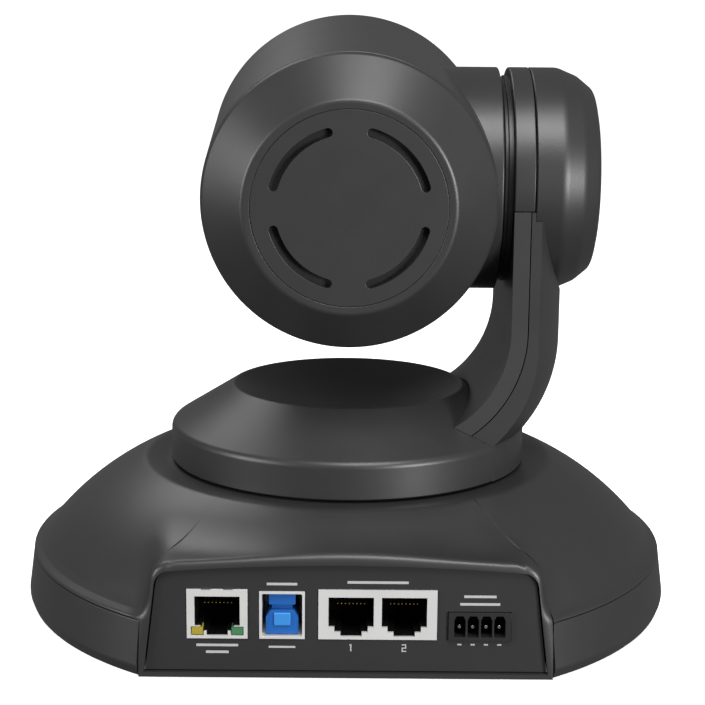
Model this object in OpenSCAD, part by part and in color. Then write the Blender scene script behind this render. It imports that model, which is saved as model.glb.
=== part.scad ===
// Desktop pan and tilt camera. Millimetres, +Z up.
// The origin is on the pan axis, in the plane that the rubber feet stand on.
// The lens looks along -Y, the sockets face +Y and the single arm is on the -X side.

/* [Base] */
// Radius of the base at its underside
base_r = 95.5; // [88:0.5:120]
// How much narrower the band is at its top than at its underside
band_flare = 1.7; // [0.5:0.1:3]
// Height of the upright band round the base
band_h = 15.4; // [13:0.1:20]
// Depth of the flat cut off the back of the round base
flat_depth = 17.6; // [14:0.1:22]
// Height of the plateau round the turntable above the base's underside
plateau_h = 41; // [38:0.5:50]
// Radius of the curve of the dome
dome_curve_r = 78; // [70:1:120]
// Height that the rubber feet stand out below the base
foot_h = 1.2; // [0.8:0.1:3]
// Radius of each rubber foot
foot_r = 7; // [5:0.5:9]
// Thickness of the base plate
plate_t = 3; // [2.5:0.1:4]

/* [Rear panel] */
// Height of the hood round the sockets, at its middle
hood_h = 33.4; // [32:0.1:37]
// Width of the hood's rim round the panel
hood_rim = 1.5; // [1.2:0.1:2.5]
// How much wider the hood's rim is above the panel than at its sides
hood_brow = 1.2; // [0:0.1:2]
// Slope of the hood's sides, in degrees
hood_slope = 7.1; // [3:0.1:9]
// Radius of the hood's arched top edge
hood_arch_r = 600; // [400:10:900]
// Thickness of the socket panel
panel_t = 1.6; // [1.2:0.1:2.5]
// Depth of the panel's face inside the hood
panel_inset = 1.2; // [0.6:0.1:2]
// Height of the circuit board's top face, which the sockets stand on
board_top_h = 10.5; // [9.5:0.1:12]

/* [Turntable] */
// Radius of the turntable's wall
turn_r = 52.6; // [50:0.1:60]
// Height of the turntable's upright wall
turn_wall_h = 9.8; // [8:0.1:14]
// Gap between the plateau and the turntable's wall
turn_gap = 0.9; // [0.6:0.1:2]
// Height of the turntable's sloping top above its wall
cone_h = 11.9; // [9:0.1:13]
// Radius of the dish's rim
dish_rim_r = 34; // [32:0.1:38]

/* [Arm] */
// Height of the tilt axis above the base's underside
tilt_h = 124; // [122:0.5:140]
// Radius of the hub, which is half of the arm's width
hub_r = 32.2; // [31:0.1:34]
// Distance from the pan axis to the arm's inner face
arm_in = 45.6; // [45.2:0.1:52]
// Outer radius of the upright arm about the pan axis
arm_out_r = 62.3; // [60:0.1:72]
// Radius of the curve that brings the arm's outer face in to the turntable
arm_sweep_r = 42; // [40:0.5:60]
// Height above the base's underside where that curve begins
arm_sweep_h = 78.4; // [76:0.1:84]
// Height above the base's underside where the arm becomes upright
arm_up_h = 84; // [78:0.5:90]
// Radius of the inside bend of the arm
arm_bend_r = 31.8; // [28:0.1:34]
// Length of the hub along the tilt axis
hub_len = 25.2; // [24:0.1:32]
// Length of the hub's inner band
hub_band_len = 6.1; // [5:0.1:8]

/* [Head] */
// Radius of the head at its front
head_front_r = 43.7; // [42:0.1:44.2]
// Radius of the head at its back
head_back_r = 40.2; // [37:0.1:42]
// Distance from the tilt axis to the head's front edge
head_front_y = 54; // [50:0.5:55]
// Distance from the tilt axis to the rear cap's edge
head_back_y = 45; // [40:0.5:50]
// Depth of the sloping rear cap
cap_depth = 11.3; // [9:0.1:14]
// Radius of the flat disc in the rear cap
disc_r = 26.2; // [24:0.1:28]
// How far the lens points up at rest, in degrees
rest_tilt = 2.5; // [0:0.5:5]

/* [Drives] */
// Radius of the hollow pan spindle
spindle_r = 9; // [8:0.1:10]
// Radius of the tilt shaft
tilt_shaft_r = 6; // [5:0.1:7]
// Tooth module of the pan drive
pan_module = 1; // [0.8:0.05:1.1]
// Tooth module of the tilt drive
tilt_module = 0.8; // [0.7:0.05:0.9]

/* [Fits] */
// Wall thickness of the plastic covers
wall = 2.2; // [1.8:0.1:2.6]
// Gap between covers that meet
seam = 0.3; // [0.2:0.05:0.5]
// Radial clearance of a turning or sliding fit
run_gap = 0.04; // [0.02:0.01:0.08]
// Gap between parts that move past each other
move_gap = 0.4; // [0.3:0.05:0.8]

/* [Hidden] */
$fn = 96;
// A length that is longer than the whole camera, for cutting
far = 400;
// A small step past a face, so that a cut goes clean through
cut = 0.5;

// Base, with heights above its underside
rear_y = base_r - flat_depth;
chord_half = sqrt(base_r * base_r - rear_y * rear_y);
band_top_r = base_r - band_flare;
band_tuck = 1;
band_tuck_h = 2.6;
lip_r = 0.9;
lip_drop = 6.1;
shoulder = [base_r - 7.8, band_h + lip_drop];
plateau_r = turn_r + 8;
plateau_rise = 0.8;
deck_hole_r = spindle_r + 9;
foot_pocket = 1;
screw_ring_r = rear_y - 1;
post_r = 4;
screw_r = 1.5;
screw_head_r = 2.8;
screw_head_h = 1.7;

// Panel outline
panel_y = rear_y - panel_inset;
hood_foot = 1.7;
hood_wall = panel_inset + panel_t + 1.6;
hood_depth = 22;
panel_gap = 0.2;
foot_ring_r = rear_y - hood_wall - foot_r - 1;
corner_r = 5.5;

// Turntable heights
turn_z = plateau_h - plateau_rise + turn_gap;
rim_z = turn_z + turn_wall_h;
dish_rim_z = rim_z + cone_h;
dish_r = sqrt(dish_rim_r * dish_rim_r + pow(tilt_h - dish_rim_z, 2));
rim_round = 2;
turn_plate_t = 2;
turn_plate_z = turn_z + 2.6;

// Arm
hub_start = arm_in - 0.1;
hub_split = hub_start + hub_band_len;
hub_end = hub_start + hub_len;
hub_end_r = hub_r - 7;
hub_shoulder = 17;
hub_round_r = 9;
arm_split = 4.6;
bend_x = arm_in - arm_bend_r;
strip_top_h = tilt_h - 6;
outer_top_h = tilt_h - 8.5;
foot_cut = dish_rim_r + 4.5;
neck_end = arm_in - 3;
collar_r = hub_r - 2.3;

// Head, in its own frame with the lens along -Y
barrel_bore_r = 17.6;
lens_front_y = -49;
block_half = 22;
block_len = 26;
frame_t = 1.5;
frame_x = -34;
frame_shelf = 19;
frame_side = 31;
frame_side_h = 40;
rod_r = 1;
rod_x = 14.4;

// Drives
pan_teeth = 60;
pinion_teeth = 12;
// Radial room between the pinion's teeth and the hub's wall
pinion_room = 3.6;
// The tilt gear has as many teeth as the hub has room for, in fours so that they mesh
tilt_teeth_room = 2 * (hub_r - wall - pinion_room) / tilt_module - 2 * pinion_teeth - 2;
tilt_teeth = 4 * floor(tilt_teeth_room / 4 + 0.01);
pressure = 25;
backlash = 0.16;
pan_centre = pan_module * (pan_teeth + pinion_teeth) / 2;
tilt_centre = tilt_module * (tilt_teeth + pinion_teeth) / 2;
deck_z = board_top_h + 11.5;
deck_t = 2.5;
boss_top = deck_z + deck_t + 1;
boss_bottom = deck_z - 6;
washer_t = 1;
pan_gear_z = boss_top + washer_t + move_gap;
gear_t = 4;
flange_z = turn_plate_z - 3;
motor_shaft_r = 1.5;
tilt_gear_d = hub_split + 7.5;
tilt_gear_t = 4;
bracket_d = arm_in + wall + 0.6;
bracket_t = 2;

charcoal = [0.15, 0.15, 0.16];
black = [0.05, 0.05, 0.06];
steel = [0.7, 0.71, 0.73];
brass = [0.78, 0.62, 0.3];

// Places

module on_feet() {
    translate([0, 0, foot_h]) children();
}

module at_tilt_axis() {
    translate([0, 0, foot_h + tilt_h]) children();
}

module in_head() {
    at_tilt_axis() rotate([-rest_tilt, 0, 0]) children();
}

// Turns a shape's +Z to -X, along the tilt axis and away from the head
module along_tilt() {
    rotate([0, -90, 0]) children();
}

// Turns a shape's +Z to +Y, towards the back
module along_head() {
    rotate([-90, 0, 0]) children();
}

// Draws an outline of x and height as a slab that ends at y = back
module upright_slab(back, depth) {
    translate([0, back, 0]) rotate([90, 0, 0]) linear_extrude(depth) children();
}

module tube(r_out, r_in, h) {
    difference() {
        cylinder(r = r_out, h = h);
        translate([0, 0, -cut]) cylinder(r = r_in, h = h + 2 * cut);
    }
}

// Gears

function base_radius(teeth, m) = m * teeth / 2 * cos(pressure);
function roll(r, rb) = sqrt(max(r * r / rb / rb - 1, 0));
function flank_turn(a) = a * 180 / PI - atan(a);
function polar(r, a) = [r * cos(a), r * sin(a)];
function tooth_half(teeth, m) =
    90 / teeth - backlash / (m * teeth) * 90 / PI + flank_turn(tan(pressure));

function flank(teeth, m, steps) =
    let (rb = base_radius(teeth, m), tip = m * (teeth / 2 + 0.8), root = m * (teeth / 2 - 1.05))
    let (start = max(rb, root), half = tooth_half(teeth, m))
    concat(
        root < rb ? [polar(root, -half)] : [],
        [for (i = [0:steps])
            let (r = start + (tip - start) * i / steps)
            polar(r, flank_turn(roll(r, rb)) - half)]
    );

function turned(p, a) = [p[0] * cos(a) - p[1] * sin(a), p[0] * sin(a) + p[1] * cos(a)];

function gear_points(teeth, m, steps) =
    let (side = flank(teeth, m, steps), n = len(side))
    [for (t = [0:teeth - 1])
        for (i = [0:2 * n - 1])
            let (p = i < n ? side[i] : [side[2 * n - 1 - i][0], -side[2 * n - 1 - i][1]])
            turned(p, t * 360 / teeth)];

module gear_outline(teeth, m, steps) {
    polygon(gear_points(teeth, m, steps));
}

// Base

// Centre of the circle of radius r through a and b, on the side towards the axis
function arc_centre(a, b, r) =
    let (mid = (a + b) / 2, d = b - a, half = norm(d) / 2)
    mid + [d[1], -d[0]] / norm(d) * sqrt(r * r - half * half);

dome_top = [plateau_r, plateau_h];
dome_c = arc_centre(dome_top, shoulder, dome_curve_r);
function dome_point(p, t) = dome_c + (p - dome_c) * (dome_curve_r - t) / dome_curve_r;

// Half section of the dome, t inside its outer face
module dome_section(t) {
    low = dome_point(shoulder, t);
    high = dome_point(dome_top, t);
    polygon([
        [0, band_h - (t > 0 ? cut : 0)],
        [band_top_r - t, band_h - (t > 0 ? cut : 0)],
        [band_top_r - t - lip_r * 0.3, band_h + lip_r * 0.7 - t * 0.3],
        low,
        high,
        [turn_r + 1.6, plateau_h - plateau_rise - t],
        [turn_r - 1, plateau_h - plateau_rise - t],
        [0, plateau_h - plateau_rise - t]
    ]);
    intersection() {
        translate(dome_c) circle(r = dome_curve_r - t, $fn = 180);
        polygon([low, high, high + [6, 6], low + [6, 6]]);
    }
    if (t == 0)
        intersection() {
            translate([band_top_r - lip_r, band_h]) circle(r = lip_r);
            translate([0, band_h]) square([far, lip_r]);
        }
}

// The hood's outline: sloping sides, round corners and an arched top, all tangent
arch_c = hood_h - hood_arch_r;
corner_gap = hood_arch_r - corner_r;
side_x = chord_half - 0.4 - corner_r / cos(hood_slope);
side_k = tan(hood_slope);
corner_q = side_x * side_k + arch_c;
corner_rest = side_x * side_x + arch_c * arch_c - corner_gap * corner_gap;
corner_h = (corner_q + sqrt(corner_q * corner_q - (1 + side_k * side_k) * corner_rest))
    / (1 + side_k * side_k);
corner_x = side_x - corner_h * side_k;
corner_a = atan2(corner_h - arch_c, corner_x);

// Right half of the outline, t inside the hood's outer face, from the foot up to the middle
function hood_half(t, foot) = concat(
    [[side_x + (corner_r - t) / cos(hood_slope) - foot * side_k, foot]],
    [for (i = [0:8])
        [corner_x, corner_h] + polar(corner_r - t, hood_slope + (corner_a - hood_slope) * i / 8)],
    [for (i = [1:11]) [0, arch_c] + polar(hood_arch_r - t, corner_a + (90 - corner_a) * i / 12)]
);

module hood_outline(t, foot) {
    right = hood_half(t, foot);
    n = len(right);
    left = [for (i = [0:n - 1]) [-right[n - 1 - i][0], right[n - 1 - i][1]]];
    polygon(concat(right, [[0, hood_h - t]], left));
}

// The socket panel's outline, t inside its edge
module panel_outline(t) {
    translate([0, -hood_brow]) hood_outline(hood_rim + t, hood_foot + hood_brow + t);
}

module screw_places() {
    for (a = [35, 145, 215, 325]) rotate([0, 0, a]) translate([screw_ring_r, 0, 0]) children();
}

module foot_places() {
    for (a = [90, 180, 270, 360]) rotate([0, 0, a]) translate([foot_ring_r, 0, 0]) children();
}

// Space that the base plate and the hood leave for each other
plate_r = base_r - wall - seam - band_flare * plate_t / band_h;
plate_back = rear_y - hood_wall - seam;
bracket_hole_x = 25;
bracket_hole_r = 2.1;
insert_r = 6;
insert_flange_r = 9;
insert_len = 6.6;
tripod_r = 2.6;

module base_plate() {
    color(steel) on_feet() difference() {
        intersection() {
            cylinder(r = plate_r, h = plate_t);
            translate([-far / 2, plate_back - far, -cut]) cube([far, far, plate_t + 2 * cut]);
        }
        translate([0, 0, -cut]) cylinder(r = insert_r, h = plate_t + 2 * cut);
        foot_places() translate([0, 0, -cut]) cylinder(r = foot_r, h = foot_pocket + cut);
        screw_places() {
            translate([0, 0, -cut]) cylinder(r = screw_r + 0.2, h = plate_t + 2 * cut);
            translate([0, 0, -cut]) cylinder(r = screw_head_r + 0.2, h = screw_head_h + cut);
        }
        for (side = [-1, 1])
            translate([side * bracket_hole_x, 0, -cut])
                cylinder(r = bracket_hole_r, h = plate_t + 2 * cut);
    }
}

module rubber_feet() {
    color(black) foot_places() cylinder(r = foot_r - 0.1, h = foot_h + foot_pocket);
}

module base_screws() {
    color(steel) on_feet() screw_places() {
        translate([0, 0, 0.1]) cylinder(r = screw_head_r, h = screw_head_h - 0.1);
        translate([0, 0, screw_head_h]) cylinder(r = screw_r, h = plate_t + 5 - screw_head_h);
    }
}

module tripod_insert() {
    color(brass) on_feet() difference() {
        union() {
            cylinder(r = insert_r, h = insert_len);
            translate([0, 0, plate_t]) cylinder(r = insert_flange_r, h = 1.4);
        }
        translate([0, 0, -cut]) cylinder(r = tripod_r, h = insert_len + 2 * cut);
    }
}

window_angle = 26;
window_low = 4;
window_high = 12.4;

module base_band() {
    color(charcoal) on_feet() difference() {
        rotate_extrude()
            polygon([
                [base_r - wall, 0],
                [base_r - band_tuck, 0],
                [base_r, band_tuck_h],
                [band_top_r, band_h - seam],
                [band_top_r - wall, band_h - seam]
            ]);
        upright_slab(far, far - rear_y / 2)
            polygon([
                [-chord_half - seam, -cut],
                [chord_half + seam, -cut],
                [chord_half + seam, band_h + cut],
                [-chord_half - seam, band_h + cut]
            ]);
        rotate([0, 0, 270 - window_angle / 2 - 0.2])
            rotate_extrude(angle = window_angle + 0.4)
                translate([base_r - wall - 1, window_low - 0.15])
                    square([wall + 2, window_high - window_low + 0.3]);
    }
}

module remote_window() {
    color([0.12, 0.02, 0.05]) on_feet() rotate([0, 0, 270 - window_angle / 2])
        rotate_extrude(angle = window_angle)
            polygon([
                [base_r - wall, window_low],
                [base_r - band_flare * window_low / band_h - 0.2, window_low],
                [base_r - band_flare * window_high / band_h - 0.2, window_high],
                [base_r - wall, window_high]
            ]);
}

light_r = 1.6;
light_y = -(plateau_r + base_r) / 2;

// Space inside the cover, from the parting line up
module dome_space(t) {
    rotate_extrude() dome_section(t);
}

module before_rear(y) {
    translate([-far / 2, y - far, -far / 2]) cube([far, far, far]);
}

module dome_cover() {
    color(charcoal) on_feet() difference() {
        union() {
            intersection() {
                dome_space(0);
                before_rear(rear_y);
            }
            upright_slab(rear_y, hood_depth) hood_outline(0, 0);
        }
        intersection() {
            dome_space(wall);
            before_rear(rear_y - hood_wall);
        }
        upright_slab(rear_y - hood_wall, hood_depth) hood_outline(wall, -cut);
        upright_slab(rear_y + cut, hood_depth) panel_outline(1.5);
        upright_slab(rear_y + cut, cut + panel_inset + panel_t) panel_outline(-panel_gap);
        translate([-far / 2, 0, -cut]) cube([far, rear_y - hood_wall, plate_t + 0.2 + cut]);
        cylinder(r = deck_hole_r, h = far);
        translate([0, light_y, 0]) cylinder(r = light_r + 0.1, h = far);
    }
    color(charcoal) on_feet() dome_posts();
}

// Posts inside the dome that the base screws are driven into
module dome_posts() {
    difference() {
        union() {
            screw_places() translate([0, 0, plate_t]) cylinder(r = post_r, h = band_h + 1 - plate_t);
            intersection() {
                screw_places() translate([0, 0, band_h]) cylinder(r = post_r, h = far);
                dome_space(wall / 2);
            }
        }
        screw_places() translate([0, 0, plate_t - cut]) cylinder(r = screw_r, h = 6 + cut);
    }
}

module status_light() {
    color([0.5, 0.7, 0.9]) on_feet() intersection() {
        translate([0, light_y, 0]) cylinder(r = light_r, h = far);
        difference() {
            dome_space(0);
            dome_space(wall + 1);
        }
    }
}

// Sockets: x range is [right edge, left edge] as seen from the back, on the board
net_x = [25.9, 41.9];
net_h = 13.6;
usb_x = [10.85, 22.85];
usb_h = 13.1;
twin_x = [-23.9, 7.3];
twin_h = 13.7;
term_x = [-43.4, -26.9];
term_h = 7.7;
socket_depth = 19;
socket_gap = 0.15;
socket_y = panel_y + 0.3;
jack_w = 11.9;
jack_h = 8.2;
jack_low = 2;
key_w = 5.6;
net_cx = (net_x[0] + net_x[1]) / 2;
usb_cx = (usb_x[0] + usb_x[1]) / 2;
twin_cx = [-15.3, -1.3];
term_cx = (term_x[0] + term_x[1]) / 2;

module socket_hole(xr, h) {
    translate([xr[0] - socket_gap, rear_y - 10, board_top_h - socket_gap])
        cube([xr[1] - xr[0] + 2 * socket_gap, 20, h + 2 * socket_gap]);
}

module rear_panel() {
    color(charcoal) on_feet() difference() {
        upright_slab(panel_y, panel_t) panel_outline(0);
        socket_hole(net_x, net_h);
        socket_hole(usb_x, usb_h);
        socket_hole(twin_x, twin_h);
        socket_hole(term_x, term_h);
    }
}

board_x = 50;
board_front = -20;
board_back = rear_y - panel_inset - panel_t - 1;
board_t = 1.6;
board_post_x = 44;
board_post_y = [board_front + 5, rear_y - 29];
deck_post_x = 30;
deck_post_y = [-16, 34];

module board_places() {
    for (x = [-board_post_x, board_post_x]) for (y = board_post_y) translate([x, y, 0]) children();
}

module main_board() {
    color([0.05, 0.25, 0.12]) on_feet() difference() {
        translate([-board_x, board_front, board_top_h - board_t])
            cube([2 * board_x, board_back - board_front, board_t]);
        board_places() cylinder(r = 1.3, h = far);
        for (x = [-deck_post_x, deck_post_x]) for (y = deck_post_y)
            translate([x, y, 0]) cylinder(r = 3.5, h = far);
    }
}

module board_posts() {
    color(steel) on_feet() board_places() translate([0, 0, plate_t]) difference() {
        cylinder(r = 2.8, h = board_top_h - board_t - plate_t);
        translate([0, 0, 0.8]) cylinder(r = 1.2, h = far);
    }
}

module board_screws() {
    color(steel) on_feet() board_places() {
        translate([0, 0, board_top_h]) cylinder(r = 2.3, h = 1.4);
        translate([0, 0, board_top_h - board_t - 3.5]) cylinder(r = 1.2, h = board_t + 3.5);
    }
}

module heat_sink() {
    color([0.3, 0.3, 0.32]) on_feet() translate([0, 44, board_top_h]) {
        translate([-9, -7, 0]) cube([18, 14, 2.5]);
        for (i = [0:5]) translate([-9 + i * 3.3, -7, 2.5]) cube([1.5, 14, 6]);
    }
}

// One moulded jack opening, centred on x, with its stepped latch slot below
module jack_space(x, depth) {
    translate([x - jack_w / 2, socket_y - depth, board_top_h + jack_low + 1.4])
        cube([jack_w, depth + cut, jack_h]);
    translate([x - key_w / 2, socket_y - depth, board_top_h + 0.8])
        cube([key_w, depth + cut, jack_low + 1]);
    translate([x - key_w / 2 - 1.6, socket_y - depth, board_top_h + 2])
        cube([key_w + 3.2, depth + cut, 2]);
}

module socket_body(xr, h) {
    translate([xr[0], socket_y - socket_depth, board_top_h])
        cube([xr[1] - xr[0], socket_depth, h]);
}

module network_socket() {
    color(steel) on_feet() difference() {
        socket_body(net_x, net_h);
        jack_space(net_cx, 13);
        for (side = [-1, 1])
            translate([net_cx + side * 5.25 - 1.6, socket_y - 4, board_top_h + 0.9])
                cube([3.2, 4 + cut, 2.4]);
    }
}

module network_lights() {
    color([0.7, 0.8, 0.2]) on_feet() for (side = [-1, 1])
        translate([net_cx + side * 5.25 - 1.5, socket_y - 3.9, board_top_h + 1])
            cube([3, 3.9, 2.2]);
}

module contact_row(x, count, pitch) {
    for (i = [0:count - 1])
        translate([x + (i - (count - 1) / 2) * pitch - 0.25, socket_y - 12.6, board_top_h + 9.6])
            cube([0.5, 9, 0.5]);
}

module network_contacts() {
    color(brass) on_feet() contact_row(net_cx, 8, 1.02);
}

module usb_shell() {
    color(steel) on_feet() difference() {
        socket_body(usb_x, usb_h);
        translate([usb_x[0] + 0.6, socket_y - socket_depth + 2, board_top_h + 0.7])
            cube([usb_x[1] - usb_x[0] - 1.2, far, usb_h - 1.3]);
    }
}

module usb_tongue() {
    color([0.05, 0.3, 0.75]) on_feet() translate([usb_cx, socket_y - socket_depth + 2, board_top_h]) {
        translate([-3.2, 0, 3]) cube([6.4, 15.6, 4]);
        translate([-2.4, 0, 9.3]) cube([4.8, 15.6, 1.7]);
        translate([-5.2, 0, 0.7]) cube([10.4, 4, 11.7]);
    }
}

module twin_socket() {
    color(steel) on_feet() difference() {
        socket_body(twin_x, twin_h);
        for (x = twin_cx) jack_space(x, 13);
    }
}

module twin_contacts() {
    color(brass) on_feet() for (x = twin_cx) contact_row(x, 8, 1.02);
}

pin_pitch = 3.5;
pin_z = 3.2;

module terminal_header() {
    color(black) on_feet() difference() {
        translate([term_x[0], socket_y - 11, board_top_h])
            cube([term_x[1] - term_x[0], 11, term_h]);
        translate([term_x[0] + 0.9, socket_y - 9, board_top_h + 0.9])
            cube([term_x[1] - term_x[0] - 1.8, far, term_h - 1.8]);
        for (i = [0:3])
            translate([term_cx + (i - 1.5) * pin_pitch, socket_y - 8, board_top_h + pin_z])
                rotate([90, 0, 0]) cylinder(r = 0.5, h = 4);
    }
}

module terminal_pins() {
    color(steel) on_feet() for (i = [0:3])
        translate([term_cx + (i - 1.5) * pin_pitch, socket_y - 1.5, board_top_h + pin_z])
            rotate([90, 0, 0]) cylinder(r = 0.5, h = 10);
}

// Pan drive

deck_r = 47;
motor_r = 13;
motor_h = 16;
bush_t = 2;

module pan_deck() {
    color(steel) on_feet() difference() {
        union() {
            translate([0, 0, deck_z]) intersection() {
                cylinder(r = deck_r, h = deck_t);
                translate([-deck_post_x - 6, -far / 2, 0]) cube([2 * deck_post_x + 12, far, far]);
            }
            translate([0, 0, boss_bottom])
                cylinder(r = spindle_r + bush_t + 3, h = boss_top - boss_bottom);
        }
        translate([0, 0, -cut]) cylinder(r = spindle_r + run_gap + bush_t, h = far);
        translate([0, -pan_centre, -cut]) cylinder(r = motor_shaft_r + 2, h = far);
        for (x = [-deck_post_x, deck_post_x]) for (y = deck_post_y)
            translate([x, y, 0]) cylinder(r = screw_r, h = far);
    }
}

module deck_posts() {
    color(steel) on_feet() for (x = [-deck_post_x, deck_post_x]) for (y = deck_post_y)
        translate([x, y, plate_t]) difference() {
            cylinder(r = 3, h = deck_z - plate_t);
            translate([0, 0, deck_z - plate_t - 6]) cylinder(r = screw_r, h = far);
        }
}

module pan_bush() {
    color([0.85, 0.82, 0.7]) on_feet() translate([0, 0, boss_bottom])
        tube(spindle_r + run_gap + bush_t, spindle_r + run_gap, boss_top - boss_bottom);
}

module thrust_washer() {
    color([0.85, 0.82, 0.7]) on_feet() translate([0, 0, boss_top])
        tube(spindle_r + bush_t + 3, spindle_r + move_gap, washer_t);
}

module pan_motor() {
    color([0.35, 0.35, 0.37]) on_feet() translate([0, -pan_centre, deck_z - motor_h])
        difference() {
            cylinder(r = motor_r, h = motor_h);
            translate([0, 0, 3]) cylinder(r = motor_shaft_r + run_gap, h = far);
        }
}

module pan_motor_shaft() {
    color(steel) on_feet() translate([0, -pan_centre, deck_z - motor_h + 3 + move_gap])
        cylinder(r = motor_shaft_r, h = pan_gear_z + gear_t - (deck_z - motor_h + 3 + move_gap));
}

module pan_pinion() {
    color(brass) on_feet() translate([0, -pan_centre, pan_gear_z]) difference() {
        linear_extrude(gear_t)
            rotate([0, 0, 180 / pinion_teeth]) gear_outline(pinion_teeth, pan_module, 3);
        translate([0, 0, -cut]) cylinder(r = motor_shaft_r, h = far);
    }
}

module pan_spindle() {
    color(steel) on_feet() difference() {
        union() {
            translate([0, 0, boss_bottom - 3]) cylinder(r = spindle_r, h = flange_z - boss_bottom + 3);
            translate([0, 0, flange_z]) cylinder(r = spindle_r + 6, h = turn_plate_z - flange_z);
        }
        translate([0, 0, -cut]) cylinder(r = spindle_r - 3, h = far);
    }
}

module pan_gear() {
    color([0.88, 0.87, 0.82]) on_feet() translate([0, 0, pan_gear_z]) difference() {
        union() {
            linear_extrude(gear_t) gear_outline(pan_teeth, pan_module, 2);
            cylinder(r = spindle_r + 4, h = gear_t + 3);
        }
        translate([0, 0, -cut]) cylinder(r = spindle_r, h = far);
        for (a = [0:60:300]) rotate([0, 0, a]) translate([(spindle_r + 4 + 27) / 2, 0, -cut])
            cylinder(r = 4, h = far);
    }
}

module spindle_clip() {
    color(steel) on_feet() translate([0, 0, boss_bottom - move_gap - 1.2])
        tube(spindle_r + 3.5, spindle_r, 1.2);
}

// Turntable

module turntable_plate() {
    color(steel) on_feet() translate([0, 0, turn_plate_z]) difference() {
        cylinder(r = turn_r - wall - 2 * seam, h = turn_plate_t);
        translate([0, 0, -cut]) cylinder(r = spindle_r - 3, h = far);
        arm_foot_holes() translate([0, 0, -cut]) cylinder(r = screw_r, h = far);
    }
}

// The turntable's half section, t inside its outer face
module turntable_section(t) {
    edge = turn_r - t;
    slope = atan2(cone_h, turn_r - dish_rim_r);
    edge_z = rim_z - t * 0.6;
    round_c = [edge - rim_round, edge_z - rim_round * tan(slope / 2 + 15)];
    difference() {
        union() {
            polygon([
                [0, turn_z - (t > 0 ? cut : 0)],
                [edge, turn_z - (t > 0 ? cut : 0)],
                [edge, round_c[1]],
                [round_c[0] + rim_round * sin(slope), round_c[1] + rim_round * cos(slope)],
                [dish_rim_r, dish_rim_z - t / cos(slope)],
                [0, dish_rim_z - t / cos(slope)]
            ]);
            translate(round_c) circle(r = rim_round);
        }
        translate([0, tilt_h]) circle(r = dish_r + t, $fn = 360);
    }
}

// The part of space that belongs to the arm: between its two side planes, on the -X side
module arm_zone(grow) {
    translate([0, hub_r + grow, 0]) rotate([90, 0, 0]) linear_extrude(2 * (hub_r + grow))
        difference() {
            translate([-far, 0]) square([far - bend_x + grow, strip_top_h + far]);
            translate([-bend_x, arm_up_h]) circle(r = arm_bend_r - grow, $fn = 180);
            translate([-arm_in + grow, arm_up_h]) square([far, far]);
        }
}

// The turntable as a solid block, t inside its outer face
module turntable_block(t) {
    rotate_extrude() turntable_section(t);
}

// Space past x, on the arm's side, between two planes half_w from the middle
module arm_side(x, half_w) {
    translate([-far, -half_w, -cut]) cube([far - x, 2 * half_w, far]);
}

module turntable_cover() {
    color(charcoal) on_feet() difference() {
        turntable_block(0);
        turntable_block(wall);
        arm_side(foot_cut, hub_r + seam);
    }
}

// Arm

// Solid of revolution that bounds the arm's outer face, t inside it
module arm_round(t) {
    sweep_x = arm_out_r - arm_sweep_r;
    low_h = arm_sweep_h - sqrt(pow(arm_sweep_r - t, 2) - pow(turn_r - t - sweep_x, 2));
    rotate_extrude() {
        translate([0, turn_z - (t > 0 ? cut : 0)]) square([turn_r - t, low_h - turn_z + cut]);
        intersection() {
            translate([sweep_x, arm_sweep_h]) circle(r = arm_sweep_r - t, $fn = 360);
            translate([0, low_h]) square([far, arm_sweep_h - low_h]);
        }
        translate([0, arm_sweep_h]) square([arm_out_r - t, tilt_h + far / 2 - arm_sweep_h]);
    }
}

// The whole arm as one solid, t inside its faces
module arm_solid(t) {
    intersection() {
        arm_round(t);
        arm_zone(-t);
        translate([-far, -far / 2, 0]) cube([far, far, tilt_h]);
    }
}

// Everything on the inner side of the split between the two arm covers
module inner_side(grow) {
    split_r = arm_bend_r + arm_split;
    translate([0, far / 2, 0]) rotate([90, 0, 0]) linear_extrude(far) {
        translate([-bend_x, arm_up_h]) circle(r = split_r + grow, $fn = 180);
        translate([-arm_in - arm_split - grow, arm_up_h]) square([far, far]);
        translate([-bend_x, 0]) square([far, far]);
    }
}

module hub_drum(r, from, to) {
    translate([0, 0, tilt_h]) along_tilt() translate([0, 0, from]) cylinder(r = r, h = to - from);
}

shaft_hole_r = tilt_shaft_r + 3;

module arm_inner_cover() {
    color(charcoal) on_feet() difference() {
        intersection() {
            arm_solid(0);
            inner_side(0);
            translate([-far, -far / 2, 0]) cube([far, far, strip_top_h]);
        }
        arm_solid(wall);
        hub_drum(shaft_hole_r + 5, 0, far);
        turntable_block(-seam);
    }
}

module arm_outer_cover() {
    color(charcoal) on_feet() difference() {
        arm_solid(0);
        arm_solid(wall);
        inner_side(seam);
        hub_drum(hub_r + seam, hub_split, far);
        hub_drum(hub_r - wall, 0, far);
        translate([-far, -far / 2, strip_top_h]) cube([far, far, far]);
        translate([-far - hub_split, -far / 2, outer_top_h]) cube([far, far, far]);
        intersection() {
            turntable_block(-seam);
            translate([-foot_cut - seam, -hub_r - 1, turn_z - 1])
                cube([foot_cut / 2, 2 * hub_r + 2, far]);
        }
        translate([0, 0, turn_z - 1])
            cylinder(r = turn_r - wall - move_gap, h = rim_z - rim_round - turn_z);
    }
}

module hub_band() {
    color(charcoal) on_feet() difference() {
        hub_drum(hub_r, hub_start, hub_split - seam);
        hub_drum(hub_r - wall, hub_start + wall, far);
        hub_drum(shaft_hole_r + 5, 0, far);
        translate([-far, -far / 2, 0]) cube([far, far, strip_top_h + seam]);
    }
}

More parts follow.
